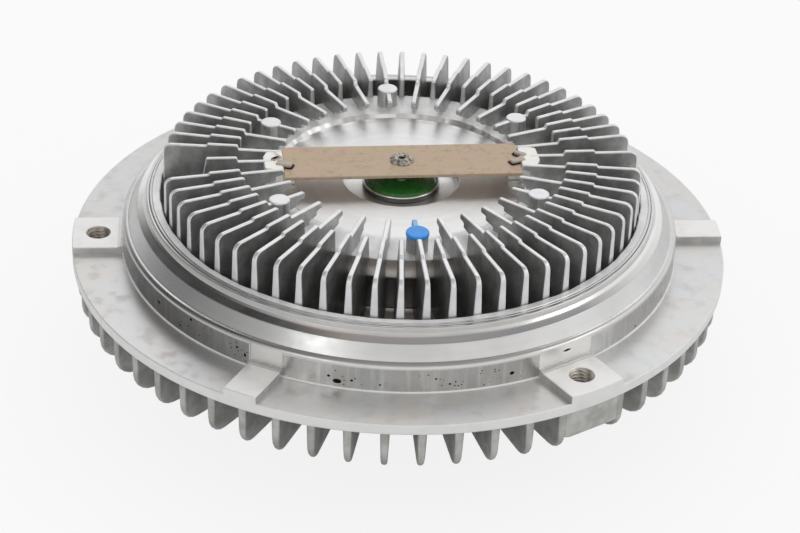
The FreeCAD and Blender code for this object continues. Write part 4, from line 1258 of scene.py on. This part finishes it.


# The painted shadow round a tongue is the same shape again, lower and wider
painted_shadow_rise, painted_shadow_grow = 0.2, 0.55
held_down = [
    merged("tongues", [solid("tongue", tongue(*place)) for place in places])
    for pair in (large_tongues, small_tongues)
    for places in ([(*place[:-1], painted_shadow_rise, painted_shadow_grow) for place in pair], pair)
]
seats = ring_of("seats", (seat_plate, strip_turns))
stops = ring_of("stops", (stop_plate, strip_turns))
carved(cover, [front_fins, bosses, paint, seats, stops, *held_down])
smoothed(cover)
print("cover:", len(cover.data.polygons), "faces")

# %% [markdown]
# The fins are painted light on top and painted darker down their sides as painted shade, the disc
# is polished, and the drum's shoulder is painted dark as painted shade. The zones work as they do
# on the housing. Paint and tongues could be left as pieces of their own, but they are part of the
# casting by now, so they are found by their places.

# %% Give the cover its finishes


def by_blue_boss(faces, reach, centre=boss_circle):
    """True within reach of a point on the blue boss's radial line."""
    turn = np.radians(faces.angle - blue_turn)
    along, across = faces.radius * np.cos(turn) - centre, faces.radius * np.sin(turn)
    return np.hypot(along, across) < reach


def at_tongue(faces):
    """True over one of the four tongues and the painted shadow round it."""
    inside = np.zeros(len(faces.radius), bool)
    for turn, along, across, lean, length, width, _ in large_tongues + small_tongues:
        a = np.radians(faces.angle - cover_turn - turn)
        x, y = faces.radius * np.cos(a) - along, faces.radius * np.sin(a) - across
        c, s = np.cos(np.radians(lean)), np.sin(np.radians(lean))
        lengthwise, sideways = np.abs(x * c + y * s), np.abs(y * c - x * s)
        inside |= (lengthwise < length / 2 + 0.6) & (sideways < width / 2 + 0.6)
    return inside


def cover_zones(faces):
    where, peened_over = faces.where, at_tongue(faces)
    fin_side = where(
        radius=above(40), height=above(channel_floor - 1),
        outward=(-0.35, 0.35), upward=(-0.35, 0.35),
    )
    # Upward patches of skin, painted lighter as painted light.
    patches = where(
        radius=(plateau_inner - 2, drum_radius - 4.6), height=(plateau - 2.2, plateau + 0.3),
        upward=above(0.5),
    )
    # Upward faces of the fins are painted lighter: painted light.
    fin_tops_painted_light = where(radius=above(40), height=above(ring_top + 1), upward=above(0.35))
    fin_tops_painted_light &= np.abs(faces.height - plateau) > 0.5
    # The drum's shoulder between the fins takes painted shade.
    shoulder = where(
        radius=(drum_radius - 4.9, drum_radius + 1), height=(channel_floor - 1, plateau - 0.1),
        outward=above(0.25),
    )
    by_strip_ends = faces.within(cover_turn, 10) | faces.within(cover_turn + 180, 10)
    stop_top = np.abs(faces.height - strip_top - 0.9) <= 0.02
    return [
        # Darker skin below the ring and on the fins' sides: painted shade.
        (painted_shade_skin, where(radius=above(ring_inner - 8), height=below(ring_top - 0.5))),
        (painted_shade_skin, fin_side),
        (turned_aluminium, where(radius=above(ring_inner - 0.6), height=above(ring_top - 0.7))),
        (patch_painted_light, where(
            radius=(ring_inner - 0.6, neck_radius - 1.1), height=above(ring_top - 0.7),
        )),
        (patch_painted_light, patches),
        (fin_edge_painted_light, fin_tops_painted_light),
        (drum_painted_shade, shoulder),
        (fin_edge_painted_light, where(
            radius=(ring_inner - 1.2, ring_inner + 0.5), height=above(ring_top + 0.5),
        )),
        (disc_aluminium, where(
            radius=below(disc_radius + 6.5), height=(dish_level - 0.3, plateau - 0.2),
        )),
        (fresh_aluminium, by_strip_ends & where(radius=(35, 49.5), height=above(plateau + 0.1))),
        # Black on the low plate round each tongue: a painted shadow.
        (painted_shade_black, peened_over & where(height=(strip_top + 0.03, strip_top + 0.3))),
        (tongue_metal, peened_over & where(height=above(strip_top + 0.3)) & ~stop_top),
        (marking_paint, by_blue_boss(faces, boss_size * paint_grow + 0.05)
         & where(height=above(fin_top - 2.1))),
        (paint_smear, by_blue_boss(faces, 3.0, fin_tip + 1.8)
         & where(height=above(inner_top - 1.9))),
    ]


zoned(cover, cast_aluminium, cover_zones)
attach(cover, "fan_half")
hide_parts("cover")

# %% [markdown]
# ## The bimetal strip
# Two metals rolled together bend when they warm, so the strip bows and pulls the valve pin. It
# stays put at its ends and moves with the pin in the middle. Each half is a closed section
# carried along.

# %% Finish of the strip


def bimetal(shader):
    """Rolled brass-coloured metal: long soft streaks along the strip, and rubbed darker spots."""
    point = shader.place()
    x, y, z = shader.split(point)
    streaks = shader.noise(shader.joined(x * 0.08, y, z), 0.9, detail=4.0, roughness=0.6)
    spots = shader.noise(point, 2.6, detail=5.0, roughness=0.65)
    scuffed = shader.spread(spots, 0.5, 0.72)
    khaki = shader.spread(shader.noise(point, 5.0, detail=3.0), 0.42, 0.62)
    pink = shader.tint(streaks, (0.49, 0.345, 0.255), (0.59, 0.44, 0.335))
    tan = shader.tint(khaki * 0.7, pink, (0.50, 0.42, 0.26))
    return {
        "Base Color": shader.tint(scuffed * 0.6, tan, (0.36, 0.285, 0.22)),
        "Metallic": 0.35,
        "Roughness": 0.42 + scuffed * 0.15,
        "relief": streaks + spots * 0.5,
        "relief_depth": 0.01,
    }


strip_metal = finish("strip_metal", bimetal)

# %% Make the two halves of the strip
strip_width = 21.6
hole_radius = 3.2
clamped_middle = 4.0


def half_strip(side, lengthwise=56, across=28, edge=0.18):
    """At share u along and v across, x runs from the hole's rim, or the middle, to the strip's end:
    x = start(y) + u * (end - start(y)), with start(y) = sqrt(hole^2 - y^2) inside the hole."""
    half = strip_width / 2
    inside_edge = np.clip(np.linspace(-1, 1, across) * half, edge - half, half - edge)
    top, bottom = np.full(across, strip_top), np.full(across, strip_low)
    y = np.concatenate([inside_edge, [half, half], inside_edge[::-1], [-half, -half]])
    z = np.concatenate([
        top, [strip_top - edge, strip_low + edge], bottom, [strip_low + edge, strip_top - edge],
    ])
    start = np.sqrt(np.maximum(hole_radius**2 - y**2, 0))
    share = np.linspace(0, 1, lengthwise)[:, None]
    x = side * (start + share * (strip_half - start))
    return np.stack([x, np.broadcast_to(y, x.shape), np.broadcast_to(z, x.shape)], -1)


for side, name in ((1, "right"), (-1, "left")):
    half = solid("strip_" + name, turned_about(half_strip(side), cover_turn))
    smoothed(half)
    half.data.materials.append(strip_metal)
    line = np.array([[side * strip_half, 0, strip_top], [side * clamped_middle, 0, strip_top]])
    ends = turned_about(line, cover_turn) * MM
    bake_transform(half)
    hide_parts("bimetal_strip")
print(f"strip {2 * strip_half} x {strip_width} x {strip_top - strip_low:.1f} mm")

# %% [markdown]
# ## The pin and its seal
# The pin comes up through the cover, and its head is riveted over the strip by a tool that leaves
# a rosette. It could be sculpted, but a few cosines on the head's radius give as lively an edge. A
# thin pressed case holds a green rubber diaphragm round the pin, so that no oil gets out. Cylinders
# with loop cuts would do for those, but a profile shows the thin wall at a glance.

# %% Finishes of the pin and its seal


def polished(shader, colour=(0.72, 0.72, 0.71), roughness=0.16):
    """Bare steel with soft rubbed clouds."""
    rub = shader.noise(shader.place(), 1.2, detail=4.0)
    return {
        "Base Color": shader.tint(rub, colour, dimmed(colour, 0.85)),
        "Metallic": 1.0,
        "Roughness": roughness + rub * 0.12,
    }


def peened(shader):
    """A hammered head: dull, with small dents and dirt in them."""
    dents = shader.noise(shader.place(), 0.9, detail=3.0)
    clean = shader.spread(dents, 0.35, 0.6)
    return {
        "Base Color": shader.tint(clean, (0.22, 0.195, 0.165), (0.60, 0.57, 0.52)),
        "Metallic": 0.8,
        "Roughness": 0.34,
        "relief": dents,
        "relief_depth": 0.25,
    }


def rubber(shader, deep=(0.008, 0.075, 0.012), light=(0.035, 0.20, 0.032), gloss=0.18, coat=0.9):
    """Moulded rubber under a film of oil, which the coat stands for."""
    point = shader.place()
    cloud = shader.noise(point, 3.0, detail=4.0)
    fine = shader.noise(point, 0.4, detail=2.0)
    return {
        "Base Color": shader.tint(cloud, deep, light),
        "Roughness": gloss + fine * 0.12,
        "Coat Weight": coat,
        "relief": fine,
        "relief_depth": 0.006,
    }


bright_steel = finish("bright_steel", polished)
pressed_steel = finish("pressed_steel", polished, colour=(0.58, 0.58, 0.575), roughness=0.28)
peened_steel = finish("peened_steel", peened)
shaded_steel = finish("shaded_steel", polished, colour=(0.16, 0.155, 0.14), roughness=0.35)
case_steel = finish("case_steel", polished, colour=(0.90, 0.885, 0.85), roughness=0.14)
zinc_steel = finish("zinc_steel", polished, colour=(0.66, 0.67, 0.68), roughness=0.3)
green_rubber = finish("green_rubber", rubber)
black_rubber = finish(
    "black_rubber", rubber, deep=grey(0.012), light=grey(0.022), gloss=0.45, coat=0.1,
)
print("finishes so far:", len(bpy.data.materials))

# %% Make the pin
pin_low, pin_high = low("actuating_pin"), high("actuating_pin")
head_radius = half_width("actuating_pin") + 0.4
on_axis, shank = 0.02, 3.0


def petals(angle, profile):
    """The riveting tool's marks: cosines of 5, 8 and 13 times the angle round the head."""
    lobes = 0.20 * np.cos(5 * angle + 0.6) + 0.13 * np.cos(8 * angle + 2.0)
    lobes = lobes + 0.09 * np.cos(13 * angle)
    return lobes * (profile[:, 0] > 1.6) * (profile[:, 1] > strip_top + 0.05)


def pin_zones(faces):
    return [
        (peened_steel, faces.where(height=above(strip_top))),
        # Black in the head's hollow: painted shade.
        (painted_shade_black, faces.where(height=above(strip_top), radius=below(1.3))),
    ]


pin = turned_piece("valve_pin", rounded([
    (on_axis, pin_low), (1.5, pin_low, 0.4), (shank, pin_low + 3.0, 0.6), (shank, strip_top),
    (head_radius, strip_top, 0.15), (head_radius, strip_top + 0.5, 0.4),
    (3.0, pin_high - 0.35, 0.3), (2.4, pin_high, 0.3), (1.6, pin_high - 0.15, 0.2),
    (1.2, pin_high - 0.85, 0.3), (on_axis, pin_high - 0.9),
]), 96, petals)
smoothed(pin)
zoned(pin, bright_steel, pin_zones)
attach(pin, "actuator")
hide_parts("actuating_pin")

# %% Make the case
case_radius, case_bore, case_sheet = half_width("pin_seal_case") + 0.3, 6.0, 0.6
case_top = high("pin_seal_case")


def case_zones(faces):
    # Below its rolled top the case's wall is painted dark: painted shade.
    return [(shaded_steel, faces.where(height=below(case_top - 1.0)))]


case = turned_piece("seal_case", rounded([
    (case_bore, dish_level), (case_radius, dish_level, 0.5), (case_radius, case_top, 0.55),
    (case_radius - case_sheet, case_top, 0.25),
    (case_radius - case_sheet, dish_level + case_sheet, 0.2), (case_bore, dish_level + case_sheet),
]), 200)
smoothed(case)
zoned(case, case_steel, case_zones)
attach(case, "fan_half")
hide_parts("pin_seal_case")

# %% Make the diaphragm
rubber_low, rubber_top = low("pin_diaphragm"), high("pin_diaphragm")
rubber_radius = case_radius - 0.85
diaphragm = turned_piece("seal_diaphragm", rounded([
    (pin_hole, rubber_low), (rubber_radius, rubber_low), (rubber_radius, case_top + 0.1, 0.4),
    (case_radius - 1.7, case_top + 0.6, 0.7), (case_radius - 4.2, case_top + 0.85, 1.5),
    (6.2, rubber_top - 0.25, 1.0), (4.6, rubber_top, 0.4), (pin_hole, rubber_top, 0.3),
]), 160)
smoothed(diaphragm)
diaphragm.data.materials.append(green_rubber)
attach(diaphragm, "fan_half")
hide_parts("pin_diaphragm")

# %% [markdown]
# ## The shaft
# A forged and turned steel shaft bolts to the water pump. Its flange has four holes and a pilot
# bore. It is turned like the castings. The holes' edges could be bevelled after the cut, but one
# drill that is wide at both mouths cuts a hole and its bevels together.

# %% Finishes of the steel and of the rotor


def forged(shader):
    """Turned steel with fine rings, dulled by brownish clouds of rust."""
    point = shader.place()
    marks = ring_marks(shader, point, 0.5)
    rust = shader.spread(shader.noise(point, 9.0, detail=6.0, roughness=0.65), 0.5, 0.75)
    return {
        "Base Color": shader.tint(rust * 0.5, (0.42, 0.42, 0.425), (0.25, 0.215, 0.19)),
        "Metallic": 1.0,
        "Roughness": 0.3 + rust * 0.2 + marks * 0.06,
        "relief": marks,
        "relief_depth": 0.008,
    }


forged_steel = finish("forged_steel", forged)
rotor_aluminium = finish("rotor_aluminium", turned, colour=(0.66, 0.66, 0.655), roughness=0.3)

# %% Turn the shaft and drill its flange
hub_radius, hub_thickness = half_width("drive_shaft"), 8.0
pilot_radius, pilot_depth = 14.0, 5.0
collar, journal, rotor_seat = 18.5, 15.0, 12.0
shaft_top = high("drive_shaft")
screw_bore, screw_floor = 4.05, shaft_top - 17.4
hub_circle, drill_radius = 31.0, 4.5

shaft = turned_piece("hub_shaft", rounded([
    (on_axis, pilot_depth), (pilot_radius, pilot_depth, 0.3), (pilot_radius, 0.0, 0.8),
    (hub_radius, 0.0, 0.7), (hub_radius, hub_thickness, 0.7),
    (collar, hub_thickness, 2.0), (collar, bearing_low, 0.4),
    (journal, bearing_low), (journal, bearing_high),
    (rotor_seat, bearing_high), (rotor_seat, shaft_top - 0.8), (rotor_seat - 0.8, shaft_top),
    (screw_bore, shaft_top), (screw_bore, screw_floor), (on_axis, screw_floor),
]), 240)


def drill(mouth=0.5, steps=48):
    """A tube through the flange. From mouth inside each face its radius grows by as much as the
    height goes on, so both mouths are chamfered at 45 degrees."""
    depths = np.array([-mouth, 0.0, mouth])
    height = np.concatenate([depths, depths + hub_thickness])[:, None]
    beyond = np.abs(height - hub_thickness / 2) - (hub_thickness / 2 - mouth)
    radius = drill_radius + np.clip(beyond, 0, 1)
    angle = np.arange(steps) * 2 * np.pi / steps
    height = np.broadcast_to(height, (len(height), steps))
    return np.stack([hub_circle + radius * np.cos(angle), radius * np.sin(angle), height], -1)


carved(shaft, [], [ring_of("drills", (drill(), (0, 90, 180, 270)))])
smoothed(shaft)
shaft.data.materials.append(forged_steel)
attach(shaft, "drive")
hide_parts("drive_shaft")

# %% [markdown]
# ## The hidden pieces
# The rotor, the bearing, the plate, the lever and the seals are seen only when the clutch is taken
# apart. They could be turned anew like the rest, but their CAD shapes are good as they are, so each
# just gets its finish.

# %% Dress the pieces that keep their CAD shape
kept = {
    rotor_aluminium: ["rotor"],
    zinc_steel: ["rotor_washer", "rotor_screw"],
    bright_steel: ["bearing_outer_race", "bearing_inner_race", "bearing_rollers"],
    pressed_steel: [
        "bearing_cage", "bearing_snap_ring", "separator_plate", "valve_lever", "lever_rivet",
    ],
    black_rubber: ["bearing_rear_seal", "bearing_front_seal", "cover_seal"],
}
for material, names in kept.items():
    for name in names:
        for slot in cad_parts[name].material_slots:
            slot.material = material
print("dressed", sum(len(names) for names in kept.values()), "CAD pieces")

# %% [markdown]
# ## The studio
# Metal has no look of its own: it shows the room. A pale floor and a bright horizon give the clean
# white of a product photograph. A darker ceiling and a darker left side put contrast into the
# bands and the bead. A picture of a studio could be wrapped round, but ramps over the height and
# the side say what they do. The camera sees plain white behind the object.

# %% Build the room that the metal mirrors
world = bpy.data.worlds.new("studio")
world.use_nodes = True
bpy.context.scene.world = world
sky = Shader(world.node_tree)
direction = sky.node("ShaderNodeTexCoord", output="Generated")
east, north, height = sky.split(direction)
shine = sky.node("ShaderNodeValToRGB", {"stops": [
    (0.0, grey(0.92)), (0.12, grey(0.96)), (0.34, grey(0.88)), (0.64, (0.76, 0.76, 0.765)),
    (0.80, (0.36, 0.36, 0.365)), (1.0, (0.34, 0.34, 0.345)),
]}, {"Fac": height})
front_shine = sky.node("ShaderNodeValToRGB", {"stops": [
    (0.0, grey(0.86)), (0.20, (0.88, 0.88, 0.875)), (0.55, (0.90, 0.90, 0.885)),
    (0.78, grey(0.52)), (1.0, (0.34, 0.34, 0.345)),
]}, {"Fac": height})
in_front = sky.spread(north, 0.25, -0.35)
mirrored = sky.tint(in_front, shine, front_shine)

# The left side is darker, and so is a corner at the back on the left
from_left = sky.spread(east, -0.95, -0.2, 0.45, 1.0)
towards_corner = sky.vector_maths("DOT_PRODUCT", {0: direction, 1: (-0.66, 0.36, 0.66)}, "Value")
from_corner = sky.spread(towards_corner, 0.74, 0.93, 1.0, 0.12)

# The ceiling has cool and warm clouds
haze = sky.spread(sky.noise(direction, 0.22, detail=3.0), 0.38, 0.62)
overhead = sky.spread(height, 0.45, 0.8)
cool_ceiling = sky.tint(overhead, grey(1.0), (0.66, 0.74, 0.84))
cast_light = sky.tint(overhead * haze, cool_ceiling, (1.25, 1.08, 0.95))
mottled = sky.vector_maths("MULTIPLY", {0: mirrored, 1: cast_light})
room = sky.vector_maths("SCALE", {"Vector": mottled, "Scale": from_left * from_corner})
print("nodes in the room:", len(world.node_tree.nodes))

# %% [markdown]
# Only mirror rays see that room. Dull surfaces get an even grey and the camera gets white, so one
# world does three jobs. More lamps could light the dull surfaces, but the metal would mirror every
# one of them. Three soft ones give the shadow its side.

# %% Show the room to the metal alone
by_glossy = sky.node("ShaderNodeLightPath", output="Is Glossy Ray")
by_camera = sky.node("ShaderNodeLightPath", output="Is Camera Ray")
colour = sky.tint(by_camera, sky.tint(by_glossy, grey(0.78), room), grey(1.0))
background = sky.node("ShaderNodeBackground", None, {"Color": colour, "Strength": 1.0})
sky.node("ShaderNodeOutputWorld", None, {"Surface": background})


def softbox(name, azimuth, elevation, distance, size, brightness):
    """A soft lamp on a sphere round the clutch, angles in degrees as for the camera and lengths in
    metres. An area lamp of that brightness sends out pi * area * brightness watts."""
    a, e = np.radians([azimuth, elevation])
    place = distance * np.array([np.sin(a) * np.cos(e), -np.cos(a) * np.cos(e), np.sin(e)])
    lamp = bpy.data.objects.new(name, bpy.data.lights.new(name, "AREA"))
    lamp.data.shape = "RECTANGLE"
    lamp.data.size, lamp.data.size_y = size
    lamp.data.energy = np.pi * size[0] * size[1] * brightness
    lamp.location = place
    lamp.rotation_euler = Vector(-place).to_track_quat("-Z", "Y").to_euler()
    bpy.context.collection.objects.link(lamp)


softbox("front_left", -37, 34, 1.3, (0.26, 0.30), 2.0)
softbox("right", 75, 40, 1.4, (0.5, 0.5), 1.3)
softbox("back", 170, 48, 1.5, (1.2, 0.35), 1.2)
print("lamps:", len(bpy.data.lights))

# %% [markdown]
# The floor takes the soft shadow. To the camera most of it glows, so it melts into the white
# behind, and seen from below it is clear, so that the underside shows. A shadow catcher could take
# its place, but then the picture would have to be laid on white afterwards.

# %% Lay the floor
floor_material = bpy.data.materials.new("pale_floor")
floor_material.use_nodes = True
shader = Shader(floor_material.node_tree)
bare = shader.node("ShaderNodeBsdfDiffuse", None, {"Color": (*grey(0.80), 1.0)})
glow = shader.node("ShaderNodeEmission", None, {"Color": (*grey(1.0), 1.0), "Strength": 1.0})
seen = shader.node("ShaderNodeLightPath", output="Is Camera Ray")
pale = shader.node("ShaderNodeMixShader", None, {0: seen * 0.85, 1: bare, 2: glow})
from_under = shader.node("ShaderNodeNewGeometry", output="Backfacing")
clear = shader.node("ShaderNodeBsdfTransparent")
one_sided = shader.node("ShaderNodeMixShader", None, {0: from_under, 1: pale, 2: clear})
shader.node("ShaderNodeOutputMaterial", None, {"Surface": one_sided})

floor_half, floor_drop = 4.0, 0.0002
corners = floor_half * np.array([[-1, -1], [1, -1], [1, 1], [-1, 1]])
floor = new_object("floor", [(x, y, -floor_drop) for x, y in corners], [(0, 1, 2, 3)])
floor.data.materials.append(floor_material)
print("floor:", 2 * floor_half, "m wide")
bpy.context.scene.view_settings.view_transform = "Standard"

# %% Finish
bpy.context.view_layer.update()
